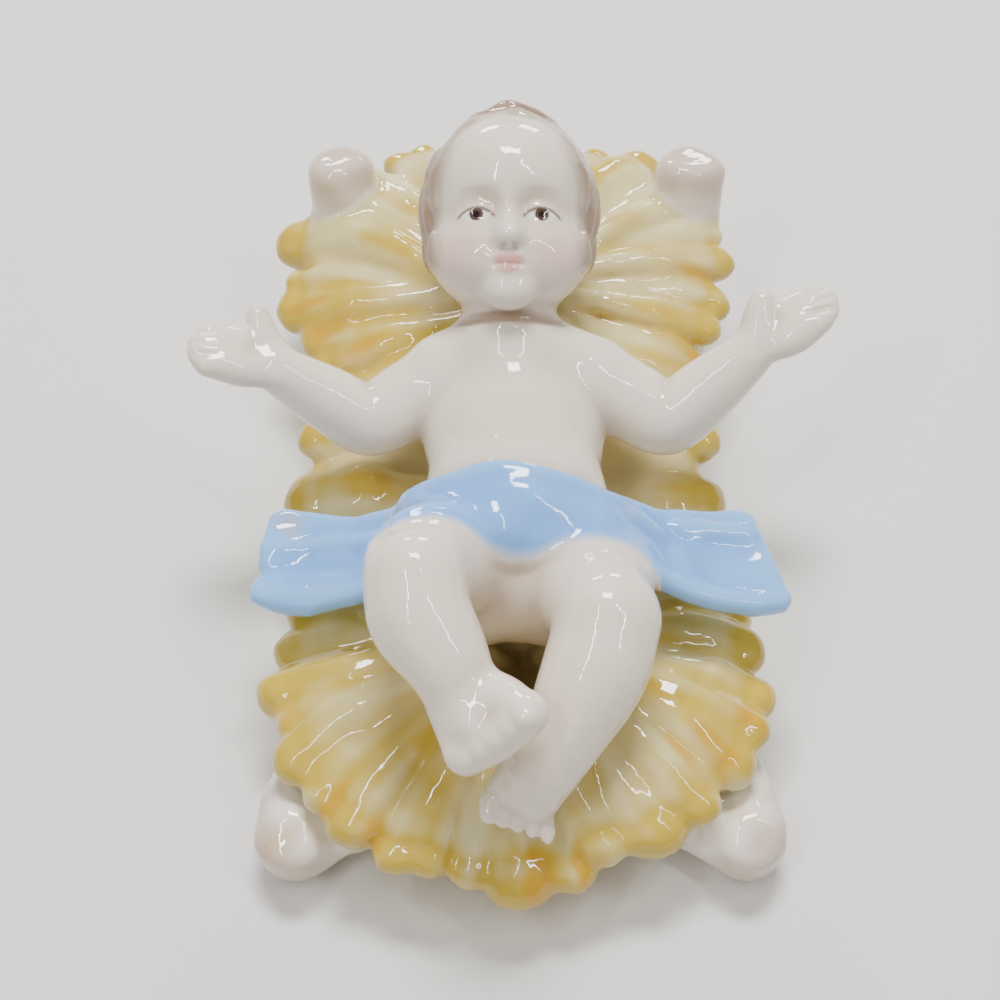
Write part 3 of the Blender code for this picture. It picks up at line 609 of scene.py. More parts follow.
manger = {
    "grain": 0.55,
    "block": ((-44.0, -66.0, -2.0), (44.0, 76.0, 42.0)),  # the clay's two corners
    "width": 75.0,  # of the straw, over the tips of its locks
    "seat": 16.5,  # where the child's back lies
    "edgeDrop": 5.0,  # the straw is this much lower along its sides
    "clearance": 3.0,  # under the straw
    "wallFlutes": 44,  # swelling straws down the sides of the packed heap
    "fluteRelief": 0.55,
    "rimRound": 4.5,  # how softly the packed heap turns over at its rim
    "rimInset": 3.0,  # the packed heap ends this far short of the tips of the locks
    "heapDepth": 1.8,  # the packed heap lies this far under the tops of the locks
    "lockFlatness": 0.85,  # a lock's height over its width
    "lockBlend": 1.6,
    "lockSway": 1.7,  # the locks swing aside and stand up unevenly by up to this much
    "lockLift": 0.9,
    "lockSeed": 7,
    "strandPitch": 3.1,  # from ridge to ridge of the straw
    "strandRelief": 0.06,
    "restGap": 0.7,  # the straw is pressed in this far clear of the child
    "logRadii": (5.3, 5.3, 4.5, 4.5),
    "logHeights": (34.0, 34.0, 12.0, 12.0),
    "ringPitch": 1.5,  # of the growth rings on the sawn ends
    "ringRelief": 0.035,
    "logFlare": 0.12,  # how much wider a log is at its foot
    "kneeShade": ((0.5, -30.0), (7.5, 7.0), 2.6),  # behind the knees: middle, reach, how dark
    "unevenness": 0.14,
    "unevenLength": 7.0,
    "unevenSeed": 11,
}
# how far the straw stands above the seat, along the bed
strawRise = ((-64, -13.5), (-60, -8.0), (-55, -0.4), (-50, 3.0), (-43, 4.8), (-35, 5.2), (-26, 4.2),
             (-14, 2.2), (-2, 1.8), (8, 2.6), (18, 5.6), (28, 9.2), (40, 11.4), (54, 12.4), (62, 11.6),
             (70, 7.5))
# swells and dips of the straw as (x, y), reach and rise: pillow, hollow behind the knees, beside the waist
strawSwells = (
    ((0.0, 34.0), (15.0, 15.0), 3.6),
    ((0.5, -28.0), (8.5, 8.5), -7.0),
    ((-17.0, 4.0), (6.0, 9.0), -2.5),
    ((17.0, 4.0), (6.0, 9.0), -2.5),
)
# locks radiate from places on the middle line; each is (x, y) of its tip, half its width, its bend
headLocks = (
    (-33.5, 12.5, 3.8, 1.0), (-32.5, 17.5, 3.2, 1.2), (-32.0, 23.6, 3.2, 1.6), (-34.2, 30.2, 3.4, 2.0),
    (-38.5, 37.0, 3.9, 1.4), (-37.1, 42.2, 3.0, 1.0), (-39.2, 51.0, 4.9, -0.6), (-32.3, 56.0, 4.4, -2.2),
    (-26.0, 62.0, 3.4, -1.8), (-21.2, 69.2, 3.4, -1.6), (-16.6, 70.6, 3.0, -1.2), (-9.8, 68.0, 3.1, -0.6),
    (-3.6, 66.0, 3.3, 0.0), (2.8, 66.0, 3.3, 0.4), (8.8, 67.4, 3.1, 0.8), (14.7, 70.8, 3.7, 1.4),
    (22.8, 68.6, 4.4, 1.8), (28.8, 60.4, 3.4, 1.8), (31.6, 54.4, 2.8, 1.6), (33.4, 50.2, 2.8, 1.2),
    (35.2, 44.8, 3.2, 0.8), (34.2, 36.8, 3.9, 0.6), (32.4, 31.0, 3.0, -0.6), (31.0, 24.2, 3.2, -1.4),
    (31.4, 18.0, 3.2, -1.4), (31.6, 12.5, 3.8, -1.0),
)
footLocks = (
    (-34.6, -4.0, 3.6, -0.6), (-34.0, -9.6, 3.6, 0.6), (-33.8, -15.6, 4.3, 1.0), (-35.3, -23.0, 4.4, 1.8),
    (-36.8, -30.8, 4.6, 2.4), (-33.4, -36.0, 3.2, 2.0), (-32.8, -42.8, 4.2, 2.4), (-28.6, -47.6, 3.2, 2.0),
    (-24.4, -52.6, 4.4, 2.4), (-17.8, -55.8, 4.0, 1.6), (-12.6, -56.6, 3.4, 1.0), (-6.8, -57.6, 3.8, 0.8),
    (0.4, -60.2, 6.0, 0.0), (8.4, -58.0, 4.2, -0.8), (13.0, -55.2, 3.8, -1.0),
    (21.4, -53.4, 5.6, -2.2), (27.2, -49.4, 3.4, -2.0),
    (32.8, -43.2, 4.6, -2.6), (35.2, -37.4, 3.6, -2.4), (36.8, -31.6, 4.6, -2.2), (36.2, -23.4, 4.4, -1.8),
    (34.8, -16.6, 4.2, -1.0), (32.8, -10.0, 3.6, -0.6), (32.4, -4.0, 3.6, 0.6),
)
sideLocks = ((-35.8, 4.6, 6.6, 0.0), (32.4, 4.8, 6.6, 0.0))
sideFan, headFan, footFan = 3.0, 34.0, -17.0  # where the locks start, along the middle line
fanBorder = 8.0
fans = ((sideFan, sideLocks), (headFan, headLocks), (footFan, footLocks))
# bold and slight locks take turns: share of the way to the tip, girth in half widths, height over the straw
boldLock = ((0.20, 0.40, -1.2), (0.46, 0.66, 0.7), (0.74, 0.96, 1.2), (1.0, 0.95, -0.4))
slightLock = ((0.28, 0.34, -1.4), (0.60, 0.58, -0.4), (0.84, 0.80, 0.0), (1.0, 0.84, -1.2))
lockTip = 0.5  # a lock's round tip loses this much when it is softened
# logs as (x, y) of the foot, (x, y) of the sawn top, and how they spread into the straw as (x, y, z, radius)
logs = (
    ((-26.0, 45.0), (-29.0, 57.6), ((-28.2, 53.4, 20.0, 5.4), (-21.0, 47.0, 18.0, 6.6))),
    ((26.0, 45.0), (28.6, 57.6), ((27.6, 53.4, 20.0, 5.4), (21.0, 47.0, 18.0, 6.6))),
    ((-30.6, -44.6), (-32.2, -50.8),
     ((-31.2, -48.8, 5.4, 4.6), (-26.0, -45.8, 6.2, 5.2), (-20.0, -41.0, 8.0, 6.4))),
    ((31.6, -44.6), (33.6, -50.8),
     ((32.4, -48.8, 5.4, 4.6), (27.0, -45.8, 6.2, 5.2), (21.0, -41.0, 8.0, 6.4))),
)
# the logs at the foot end also spread along the sides of the straw
logWedges = (
    ((-31.2, -38.5, 8.4, 3.4), (-32.4, -44.5, 7.8, 4.0), (-32.0, -49.0, 6.4, 4.4)),
    ((32.2, -38.5, 8.4, 3.4), (33.6, -44.5, 7.8, 4.0), (33.4, -49.0, 6.4, 4.4)),
)


def nearestFan(y):
    return np.where(y > fanBorder, headFan, footFan)


def strawTop(facts, x, y):
    # height of the straw seen from above
    edge = np.minimum(np.abs(x) / (facts["width"] / 2), 1.0)
    top = facts["seat"] + between(y, strawRise) - facts["edgeDrop"] * edge ** 5
    for (middleX, middleY), (reachX, reachY), rise in strawSwells:
        top = top + rise * np.exp(-((x - middleX) / reachX) ** 2 - ((y - middleY) / reachY) ** 2)
    return top


def packedHeap(facts, clay):
    # the body of the straw: seen from above it reaches almost to the tips of the locks
    corners = []
    for fanY, locks in ((headFan, headLocks), (footFan, footLocks[::-1])):
        for tipX, tipY, halfWidth, bend in locks:
            length = math.hypot(tipX, tipY - fanY)
            share = 1.0 - facts["rimInset"] / length
            corners.append((tipX * share, fanY + (tipY - fanY) * share))
    part, (x, y, z) = clay.places()
    top = strawTop(facts, x, y) - facts["heapDepth"]
    steep = np.hypot(*np.gradient(top[:, :, 0], facts["grain"]))[:, :, None]
    heading = np.arctan2(y - nearestFan(y), x)
    # two waves out of step, so that no two flutes are alike
    flutes = np.cos(facts["wallFlutes"] * heading + 0.3 * z + 2.2 * np.sin(3.0 * heading))
    flutes = flutes + 0.5 * np.cos(1.7 * facts["wallFlutes"] * heading - 0.2 * z)
    rim = outlineGap(x, y, corners) + 0.4 * np.maximum(0.5 * top - z, 0.0) - facts["fluteRelief"] * flutes
    above = (z - top) / np.sqrt(1.0 + steep ** 2)
    return softMax(softMax(above, rim, facts["rimRound"]), facts["clearance"] - z, 3.0)


def strawLock(facts, fanY, lock, profile, number, sway, lift):
    # one lock: low and wide in section, ridged along its length and rounded at its tip
    tipX, tipY, halfWidth, bend = lock
    heading = np.array((tipX, tipY - fanY))
    length = np.linalg.norm(heading)
    heading = heading / length
    flat = facts["lockFlatness"]
    profile = np.array(profile)
    girth = profile[:, 1] * halfWidth
    along = profile[:, 0] * (length - girth[-1] + lockTip)
    crest = profile[:, 2] + lift * np.array((0.0, 1.0, 1.0, 0.4))

    def distance(x, y, z):
        t = x * heading[0] + (y - fanY) * heading[1]
        u = -x * heading[1] + (y - fanY) * heading[0]
        share = np.clip(t / length, 0.0, 1.0)
        u = u - bend * np.sin(math.pi * share) - sway * np.sin(2 * math.pi * share)
        inside = np.clip(t, along[0], along[-1])
        radius = np.interp(inside, along, girth)
        level = strawTop(facts, heading[0] * inside, fanY + heading[1] * inside)
        level = level + np.interp(inside, along, crest)
        level = np.maximum(level - flat * radius, facts["clearance"] + flat * radius)
        rise = (z - level) / flat
        reach = np.sqrt((t - inside) ** 2 + u ** 2 + rise ** 2)
        steep = np.sqrt((t - inside) ** 2 + u ** 2 + (rise / flat) ** 2)
        gap = (reach - radius) * np.maximum(reach, 0.1) / np.maximum(steep, 0.1)
        waved = u + 0.6 * np.sin(t / 6.0 + 1.7 * number)
        strands = np.cos(2 * math.pi * waved / facts["strandPitch"] + number)
        fade = np.clip((inside - along[0]) / 8.0, 0.0, 1.0)
        return gap - facts["strandRelief"] * strands * fade

    reach = girth.max() + abs(bend) + abs(sway) + 1.0
    ends = np.array([heading * along[0] + (0, fanY), heading * along[-1] + (0, fanY)])
    low = np.array((*(ends.min(0) - reach), 0.0))
    high = np.array((*(ends.max(0) + reach), 42.0))
    return distance, low, high


def logBody(facts, foot, top, height, number):
    # a short log from its foot to its sawn top, its rim rounded by the glaze
    low = np.array((*foot, -3.0))
    high = np.array((*top, height))
    length = np.linalg.norm(high - low)
    axis = (high - low) / length

    def distance(x, y, z):
        t = (x - low[0]) * axis[0] + (y - low[1]) * axis[1] + (z - low[2]) * axis[2]
        off = np.sqrt((x - low[0] - t * axis[0]) ** 2 + (y - low[1] - t * axis[1]) ** 2
                      + (z - low[2] - t * axis[2]) ** 2)
        turn = np.arctan2(y - low[1] - t * axis[1], x - low[0] - t * axis[0])
        radius = facts["logRadii"][number] * (1.0 + facts["logFlare"] * (1.0 - t / length))
        radius = radius + 0.30 * np.sin(2 * turn + 1.9 * number) + 0.16 * np.sin(3 * turn + 0.2 * t + number)
        rings = facts["ringRelief"] * np.sin(2 * math.pi * off / facts["ringPitch"] + 0.5 * turn)
        return softMax(off - radius, t - length + rings, 3.0)

    return distance, np.minimum(low, high) - 8.0, np.maximum(low, high) + 8.0


def modelManger(facts, body):
    low, high = facts["block"]
    straw = Clay(low, high, facts["grain"])
    straw.depth = packedHeap(facts, straw).astype(np.float32)
    chance = np.random.default_rng(facts["lockSeed"])
    for fanY, locks in fans:
        for number, lock in enumerate(locks):
            profile = slightLock if number % 2 else boldLock
            sway = facts["lockSway"] * chance.uniform(-1.0, 1.0)
            lift = facts["lockLift"] * chance.uniform(-1.0, 1.0)
            straw.melt(strawLock(facts, fanY, lock, profile, number, sway, lift), facts["lockBlend"])
    print("straw laid")
    wood = Clay(low, high, facts["grain"])
    for number, (foot, top, root) in enumerate(logs):
        wood.melt(coil(root), 2.5)
        wood.melt(logBody(facts, foot, top, facts["logHeights"][number], number), 3.0)
    for stations in logWedges:
        wood.melt(coil(stations), 2.5)
    part, place = straw.places()
    uneven = facts["unevenness"] * ripple(*place, facts["unevenLength"], facts["unevenSeed"])
    straw.depth += uneven
    wood.depth += uneven

    # press the straw clear of the child's underside
    full = np.stack(np.broadcast_arrays(*place), -1).reshape(-1, 3)
    above = readBlock(body, body.depth, full - childDrop).reshape(straw.depth.shape).astype(np.float32)
    over = np.minimum.accumulate(above, axis=2)
    straw.depth = softMax(straw.depth, facts["restGap"] - over, 0.6)

    whole = Clay(low, high, facts["grain"])
    whole.depth = softMax(softMin(straw.depth, wood.depth, 2.2), -place[2] + np.zeros_like(straw.depth), 0.3)
    piece, points = fire("strawManger", whole, np.zeros(3), 2)
    mark(piece, "woodGap", readBlock(straw, straw.depth, points) - readBlock(wood, wood.depth, points))
    # crests against valleys, leaving out the broad roundness of the rim
    relief = readBlock(whole, softened(whole.depth, 3) - 0.6 * softened(whole.depth, 6), points)
    mark(piece, "hollow", (relief - relief.mean()) / relief.std())
    middle, reach, darkness = facts["kneeShade"]
    behindKnees = np.exp(-(((points[:, :2] - middle) / reach) ** 2).sum(1))
    mark(piece, "deepHollow", readBlock(whole, softened(whole.depth, 5), points) - darkness * behindKnees)
    fromFan = points[:, 1] - nearestFan(points[:, 1])
    heading = np.arctan2(fromFan, points[:, 0])
    away = np.hypot(points[:, 0], fromFan)
    mark(piece, "fan", np.stack((np.cos(heading), np.sin(heading), away / 40.0), 1))
    mark(piece, "drawnPlace", points)
    return piece, points


mangerPiece, mangerPoints = modelManger(manger, childClay)
print("manger fired:", len(mangerPiece.data.polygons), "faces")


def hexColour(code):
    # an sRGB hex colour as linear light
    parts = [int(code[n:n + 2], 16) / 255 for n in (1, 3, 5)]
    return (*[p / 12.92 if p <= 0.04045 else ((p + 0.055) / 1.055) ** 2.4 for p in parts], 1.0)


def newMaterial(name):
    material = bpy.data.materials.new(name)
    material.use_nodes = True
    return material, material.node_tree, material.node_tree.nodes["Principled BSDF"]


smooth = {"interpolation_type": "SMOOTHSTEP"}


def addNode(tree, kind, inputs=None, output=0, **settings):
    # adds a node, sets or links its sockets, and gives back one of its outputs
    node = tree.nodes.new("ShaderNode" + kind)
    for key, value in settings.items():
        setattr(node, key, value)
    for key, value in (inputs or {}).items():
        if isinstance(value, bpy.types.NodeSocket):
            tree.links.new(value, node.inputs[key])
        else:
            node.inputs[key].default_value = value
    return node.outputs[output]


def glazeShader(tree, shader, place, facts):
    # clear gloss glaze, a little wavy, over a body that lets light in
    settings = {"Metallic": 0.0, "Roughness": facts["roughness"], "IOR": facts["ior"],
                "Subsurface Weight": facts["depthOfLight"], "Subsurface Radius": (1.0, 0.75, 0.55),
                "Subsurface Scale": facts["reachOfLight"]}
    for name, value in settings.items():
        shader.inputs[name].default_value = value
    pits = addNode(tree, "TexNoise", {"Vector": place, "Scale": 1 / facts["pitSize"], "Detail": 1.0})
    wavy = addNode(tree, "Bump", {"Height": pits, "Distance": facts["pitDepth"]})
    tree.links.new(wavy, shader.inputs["Normal"])


def overlay(tree, colour, share, strength, code):
    # one paint laid over another: share is where, strength is how thick
    thick = addNode(tree, "Math", {0: share, 1: strength}, operation="MULTIPLY", use_clamp=True)
    return addNode(tree, "Mix", {0: thick, 6: colour, 7: hexColour(code)}, 2, data_type="RGBA")


def spot(tree, place, middle, radii, edge):
    # share of a painted oval, 1 inside and 0 outside, edge is how soft its rim is
    off = addNode(tree, "VectorMath", {0: place, 1: middle}, operation="SUBTRACT")
    scaled = addNode(tree, "VectorMath", {0: off, 1: radii}, operation="DIVIDE")
    reach = addNode(tree, "VectorMath", {0: scaled}, "Value", operation="LENGTH")
    return addNode(tree, "MapRange", {0: reach, 1: 1.0 + edge, 2: 1.0 - edge}, **smooth)


def stroke(tree, place, middle, radius, width, within):
    # a thin painted arc, cut off outside another shape
    off = addNode(tree, "VectorMath", {0: place, 1: middle}, operation="SUBTRACT")
    flat = addNode(tree, "VectorMath", {0: off, 1: (1, 1, 0)}, operation="MULTIPLY")
    reach = addNode(tree, "VectorMath", {0: flat}, "Value", operation="LENGTH")
    off = addNode(tree, "Math", {0: reach, 1: radius}, operation="SUBTRACT")
    ring = addNode(tree, "Math", {0: off}, operation="ABSOLUTE")
    line = addNode(tree, "MapRange", {0: ring, 1: width, 2: width * 0.3}, **smooth)
    return addNode(tree, "Math", {0: line, 1: within}, operation="MULTIPLY")


skinGlaze = {
    "roughness": 0.06,
    "ior": 1.52,
    "depthOfLight": 0.12,
    "reachOfLight": 0.0012,
    "cream": "#F1E6D5",
    # painted shade: the brownish tone the cream darkens to in creases and hollows; also the tint of the faint
    # clouds
    "warmShadeAndClouds": "#AC8668",
    "cloudSize": 9.0,  # mm, of the faint clouds in the glaze
    "pitSize": 2.2,  # mm, of the glaze's own waviness
    "pitDepth": 0.00007,
    "blue": "#8FC3FA",
    "deepBlue": "#6B9FEC",
    "hemFade": 2.6,  # mm over which the blue thins out to its lower hem
    "hair": "#8E6A4E",
    "hairHollow": "#644531",
    "stain": "#CDAA6A",
}
# faint straw-coloured specks that strayed onto the blue, as place and radius in drawn millimetres
straySpecks = (((-32.6, -9.4, 28.6), 2.0), ((15.0, -13.2, 36.2), 1.5))
facePaint = {
    "blush": "#DE9D90",
    "lid": "#C9A796",
    "eyeWhite": "#EFEAE4",
    "iris": "#3D2216",
    "pupil": "#1E1310",
    "lash": "#5A3C2E",
    "brow": "#A88B76",
    "lips": "#D8897E",
    "parting": "#9A5A52",
    "nostril": "#B08374",
    "irisRadius": 1.02,
    "pupilRadius": 0.5,
}


def paintFace(tree, skin, head, face, paint):
    # painted in the head's own millimetres, mirrored about the middle line
    split = tree.nodes.new("ShaderNodeSeparateXYZ")
    tree.links.new(head, split.inputs[0])
    across = addNode(tree, "Math", {0: split.outputs[0]}, operation="ABSOLUTE")
    mirrored = addNode(tree, "CombineXYZ", {0: across, 1: split.outputs[1]})
    front = addNode(tree, "MapRange", {0: split.outputs[2], 1: 4.0, 2: 6.0}, **smooth)
    eyeX, eyeY = face["eye"]
    nose, mouth = face["noseTip"], face["mouth"]

    def oval(middle, halves, edge):
        # the last radius is so large that the face's depth doesn't count
        return spot(tree, mirrored, (*middle, 0), (*halves, 1000.0), edge)

    nearEye = oval((eyeX, eyeY + 0.5), (3.0, 2.0), 0.14)
    almond = oval((eyeX, eyeY), face["eyeHalf"], 0.10)
    iris = oval((eyeX, eyeY + 0.1), (paint["irisRadius"], paint["irisRadius"]), 0.16)
    pupil = oval((eyeX, eyeY + 0.1), (paint["pupilRadius"], paint["pupilRadius"]), 0.2)
    nearBrow = oval((eyeX + 0.2, eyeY + 4.3), (2.9, 1.5), 0.35)
    upperLip = oval((0.7, mouth + 0.6), (1.35, 0.6), 0.6)
    lowerLip = oval((0.0, mouth - 0.7), (1.5, 0.8), 0.6)
    # where, how thick, which paint
    layers = (
        (oval((7.0, -7.6), (3.8, 3.2), 0.9), 0.42, "blush"),
        (oval((eyeX, eyeY + 1.4), (3.4, 1.8), 0.8), 0.35, "lid"),
        (almond, 0.8, "eyeWhite"),
        (addNode(tree, "Math", {0: iris, 1: almond}, operation="MULTIPLY"), 0.95, "iris"),
        (addNode(tree, "Math", {0: pupil, 1: almond}, operation="MULTIPLY"), 0.9, "pupil"),
        (stroke(tree, mirrored, (eyeX, eyeY - 2.4, 0), 3.4, 0.34, nearEye), 0.75, "lash"),
        (stroke(tree, mirrored, (eyeX + 0.4, eyeY - 2.6, 0), 6.3, 0.7, nearBrow), 0.2, "brow"),
        (addNode(tree, "Math", {0: upperLip, 1: lowerLip}, operation="MAXIMUM"), 0.7, "lips"),
        (oval((0.0, mouth), (1.9, 0.22), 0.5), 0.6, "parting"),
        (oval((0.75, nose - 1.5), (0.45, 0.3), 0.6), 0.4, "nostril"),
    )
    for share, strength, name in layers:
        inFace = addNode(tree, "Math", {0: share, 1: front}, operation="MULTIPLY")
        skin = overlay(tree, skin, inFace, strength, paint[name])
    return skin


def paintedPorcelain(facts, face, paint):
    # slip-cast porcelain, painted under a clear gloss glaze: mirror-sharp highlights over soft milky colour;
    # hollow is below 0 in a dip and above 0 on a crest
    material, tree, shader = newMaterial("handPaintedGlazedPorcelain")
    place = addNode(tree, "Attribute", output="Vector", attribute_name="drawnPlace")
    glazeShader(tree, shader, place, facts)
    head = addNode(tree, "Attribute", output="Vector", attribute_name="headPlace")
    hollow, hairShare, clothGap, hemGap = [addNode(tree, "Attribute", output="Fac", attribute_name=name)
                                          for name in ("hollow", "hairGap", "clothGap", "hemGap")]
    clouds = addNode(tree, "TexNoise", {"Vector": place, "Scale": 1 / facts["cloudSize"], "Detail": 2.0})
    # painted shade: the cream darkens to a brownish tone in its creases and hollows, as under the chin and
    # round the neck
    creaseShade = addNode(tree, "MapRange", {0: hollow, 1: 0.2, 2: -0.9}, **smooth)
    skin = overlay(tree, hexColour(facts["cream"]), creaseShade, 0.8, facts["warmShadeAndClouds"])
    skin = overlay(tree, skin, clouds, 0.15, facts["warmShadeAndClouds"])
    skin = paintFace(tree, skin, head, face, paint)

    # a thin wash of brown over the hair, darker in the hollows between the locks and along streaks
    combed = addNode(tree, "VectorMath", {0: head, 1: (0.7, 0.15, 0.7)}, operation="MULTIPLY")
    streaks = addNode(tree, "TexNoise", {"Vector": combed, "Scale": 1.0, "Detail": 3.0})
    gather = addNode(tree, "Math", {0: hollow, 1: -0.5, 2: streaks}, operation="MULTIPLY_ADD")
    dark = addNode(tree, "MapRange", {0: gather, 1: 0.3, 2: 0.8}, **smooth)
    hair = overlay(tree, hexColour(facts["hair"]), dark, 1.0, facts["hairHollow"])
    share = addNode(tree, "MapRange", {0: hairShare, 1: -1.4, 2: 1.8, 4: 0.85}, **smooth)
    skin = addNode(tree, "Mix", {0: share, 6: skin, 7: hair}, 2, data_type="RGBA")

    # the loincloth is sprayed pale blue, deeper blue in its hollows and in faint clouds
    mottle = addNode(tree, "Math", {0: clouds, 1: 0.5, 2: hollow}, operation="MULTIPLY_ADD")
    folds = addNode(tree, "MapRange", {0: mottle, 1: 0.9, 2: -0.3}, **smooth)
    blue = overlay(tree, hexColour(facts["blue"]), folds, 1.0, facts["deepBlue"])
    for middle, radius in straySpecks:
        speck = spot(tree, place, middle, (radius, radius, radius), 0.7)
        blue = overlay(tree, blue, speck, 0.4, facts["stain"])
    onCloth = addNode(tree, "MapRange", {0: clothGap, 1: -0.15, 2: 0.3}, **smooth)
    offHem = addNode(tree, "MapRange", {0: hemGap, 1: 0.2, 2: facts["hemFade"]}, **smooth)
    sprayed = addNode(tree, "Math", {0: onCloth, 1: offHem}, operation="MULTIPLY")
    colour = addNode(tree, "Mix", {0: sprayed, 6: skin, 7: blue}, 2, data_type="RGBA")
    tree.links.new(colour, shader.inputs["Base Color"])
    return material


strawGlaze = {
    "roughness": 0.06,
    "ior": 1.52,
    "depthOfLight": 0.10,
    "reachOfLight": 0.0012,
    "pale": "#E0D299",
    "yellow": "#C9A932",
    "ochre": "#CE9C22",
    "shade": "#634A28",
    "strokeWidth": 6.0,  # mm, of the brush strokes across the straw
    "fanReach": 30.0,  # mm from a fan's middle to its edge, where the width counts
    "patchSize": 13.0,  # mm
    "pitSize": 2.0,
    "pitDepth": 0.00008,
    "log": "#F3EADF",
    # painted shade in the logs' hollows, and the tone of their darker random streaks and patches
    "logShadeAndStreaks": "#D6C1B0",
}
# dabs of ochre brushed on the straw, as (x, y) and reach in drawn millimetres
ochreDabs = (
    (-25.1, -48.4, 2.6), (-19.4, -52.2, 3.0), (22.2, -40.8, 3.0), (27.1, -40.0, 3.4), (32.0, -34.9, 2.8),
    (15.4, -47.4, 2.4), (3.2, -57.5, 4.0), (9.0, -56.0, 2.6), (-33.1, 34.8, 2.4), (-29.9, 29.8, 3.0),
    (-24.7, 24.8, 3.4), (-36.4, 44.2, 2.8), (-30.3, 51.0, 2.4), (17.3, 68.0, 3.2), (15.0, 47.4, 2.6),
    (19.5, 36.3, 2.6), (28.7, 25.6, 3.0), (31.0, -47.0, 2.4), (-34.0, -36.0, 2.4), (29.0, 40.0, 2.4),
    (-31.0, -49.6, 2.2), (-34.4, -51.6, 1.6),
)


def dabShares(points):
    # how much ochre a place has; each dab is a stroke along the straw, three times as long as wide
    shares = np.zeros(len(points))
    for dabX, dabY, reach in ochreDabs:
        way = np.array((dabX, dabY - nearestFan(dabY)))
        way = way / np.linalg.norm(way)
        offX, offY = points[:, 0] - dabX, points[:, 1] - dabY
        along = (offX * way[0] + offY * way[1]) / (1.8 * reach)
        aside = (offY * way[0] - offX * way[1]) / (0.6 * reach)
        shares = np.maximum(shares, np.exp(-along ** 2 - aside ** 2))
    return shares


def strawPorcelain(facts):
    # cream porcelain brushed with yellow and ochre along the straw, under the same clear gloss glaze
    material, tree, shader = newMaterial("brushedYellowGlazedPorcelain")
    place = addNode(tree, "Attribute", output="Vector", attribute_name="drawnPlace")
    glazeShader(tree, shader, place, facts)
    fan = addNode(tree, "Attribute", output="Vector", attribute_name="fan")
    hollow, deepHollow, dab, woodGap = [addNode(tree, "Attribute", output="Fac", attribute_name=name)
                                        for name in ("hollow", "deepHollow", "dab", "woodGap")]
    stretch = facts["fanReach"] / facts["strokeWidth"]
    combed = addNode(tree, "VectorMath", {0: fan, 1: (stretch, stretch, 0.2 * stretch)}, operation="MULTIPLY")
    strokes = addNode(tree, "TexNoise", {"Vector": combed, "Scale": 1.0, "Detail": 1.5})
    patches = addNode(tree, "TexNoise", {"Vector": place, "Scale": 1 / facts["patchSize"], "Detail": 2.0})
    valley = addNode(tree, "Math", {0: hollow, 1: -0.36, 2: strokes}, operation="MULTIPLY_ADD")
    valley = addNode(tree, "Math", {0: patches, 1: 0.7, 2: valley}, operation="MULTIPLY_ADD")
    washed = addNode(tree, "MapRange", {0: valley, 1: 0.5, 2: 1.35}, **smooth)
    colour = overlay(tree, hexColour(facts["pale"]), washed, 0.95, facts["yellow"])
    brushed = addNode(tree, "Math", {0: valley, 1: dab}, operation="MULTIPLY")
    brushed = addNode(tree, "MapRange", {0: brushed, 1: 0.3, 2: 1.05}, **smooth)
    colour = overlay(tree, colour, brushed, 0.8, facts["ochre"])
    deep = addNode(tree, "MapRange", {0: deepHollow, 1: -0.1, 2: -1.9}, **smooth)
    colour = overlay(tree, colour, deep, 0.8, facts["shade"])
    # the logs keep their pale colour on crests and darken in their hollows, a painted shade, and along random
    # streaks and patches
    paleLogShare = addNode(tree, "MapRange", {0: valley, 1: 1.6, 2: 0.8}, **smooth)
    wood = overlay(tree, hexColour(facts["logShadeAndStreaks"]), paleLogShare, 1.0, facts["log"])
    wood = overlay(tree, wood, dab, 0.3, facts["yellow"])
    onWood = addNode(tree, "MapRange", {0: woodGap, 1: -0.8, 2: 1.6}, **smooth)
    colour = addNode(tree, "Mix", {0: onWood, 6: colour, 7: wood}, 2, data_type="RGBA")
    tree.links.new(colour, shader.inputs["Base Color"])
    return material


mark(mangerPiece, "dab", dabShares(mangerPoints))
childPiece.data.materials.append(paintedPorcelain(skinGlaze, infantFace, facePaint))
mangerPiece.data.materials.append(strawPorcelain(strawGlaze))
for piece, node, slot in ((childPiece, "child_figure", "infant_porcelain"),
                          (mangerPiece, "manger", "straw_porcelain")):
    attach(piece, "root")
    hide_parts(node)
print("glazes painted")

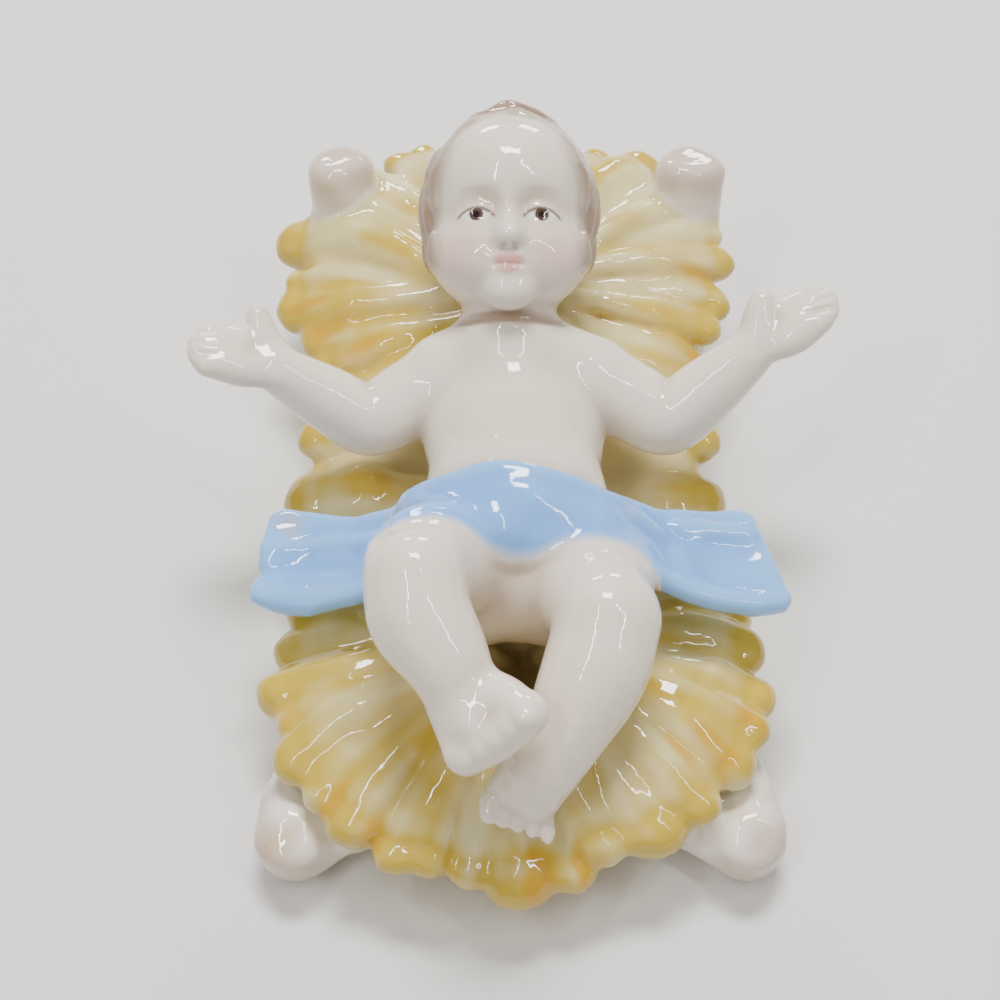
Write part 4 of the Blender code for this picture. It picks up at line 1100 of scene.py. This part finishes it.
studio = {
    "floor": "#E8E6E2",
    "floorReach": 3.0,  # metres to each side
    "surround": 0.18,
    "aim": (0.0, 0.0, 0.03),  # the lamps face this place
    # azimuth, elevation, distance, size across and up, power, roll
    "lights": (
        ("windowLeft", 168.0, 16.0, 1.2, (0.24, 0.16), 3.4, 0.0),
        ("windowRight", 192.0, 16.0, 1.2, (0.24, 0.16), 3.4, 0.0),
        ("ceilingPanel", 176.0, 70.0, 1.0, (0.36, 0.20), 12.5, 0.0),
        ("roomLight", -30.0, 44.0, 1.3, (1.4, 1.0), 2.6, 0.0),
        ("ceilingStripLeft", -58.0, 64.0, 1.2, (0.025, 0.7), 4.5, 0.6),
        ("ceilingStripRight", 74.0, 62.0, 1.2, (0.025, 0.7), 3.5, -0.5),
    ),
}


def plainFloor(facts):
    far = facts["floorReach"]
    mesh = bpy.data.meshes.new("studioFloor")
    mesh.from_pydata([(-far, -far, 0), (far, -far, 0), (far, far, 0), (-far, far, 0)], [], [(0, 1, 2, 3)])
    floor = addObject("studioFloor", mesh)
    material, tree, shader = newMaterial("matPaperFloor")
    shader.inputs["Base Color"].default_value = hexColour(facts["floor"])
    shader.inputs["Roughness"].default_value = 0.8
    mesh.materials.append(material)


def softbox(name, azimuth, elevation, distance, size, power, roll):
    turn, rise = math.radians(azimuth), math.radians(elevation)
    away = Vector((math.sin(turn) * math.cos(rise), -math.cos(turn) * math.cos(rise), math.sin(rise)))
    lamp = bpy.data.lights.new(name, "AREA")
    lamp.shape = "RECTANGLE"
    lamp.size, lamp.size_y = size
    lamp.energy = power
    holder = addObject(name, lamp)
    holder.location = away * distance + Vector(studio["aim"])
    spin = Matrix.Rotation(roll, 3, "Z").to_quaternion()
    holder.rotation_euler = (away.to_track_quat("Z", "Y") @ spin).to_euler()


plainFloor(studio)
world = bpy.data.worlds.new("studioSurround")
world.use_nodes = True
world.node_tree.nodes["Background"].inputs[0].default_value = (1.0, 1.0, 1.0, 1.0)
world.node_tree.nodes["Background"].inputs[1].default_value = studio["surround"]
bpy.context.scene.world = world
for light in studio["lights"]:
    softbox(*light)
print("studio lit")
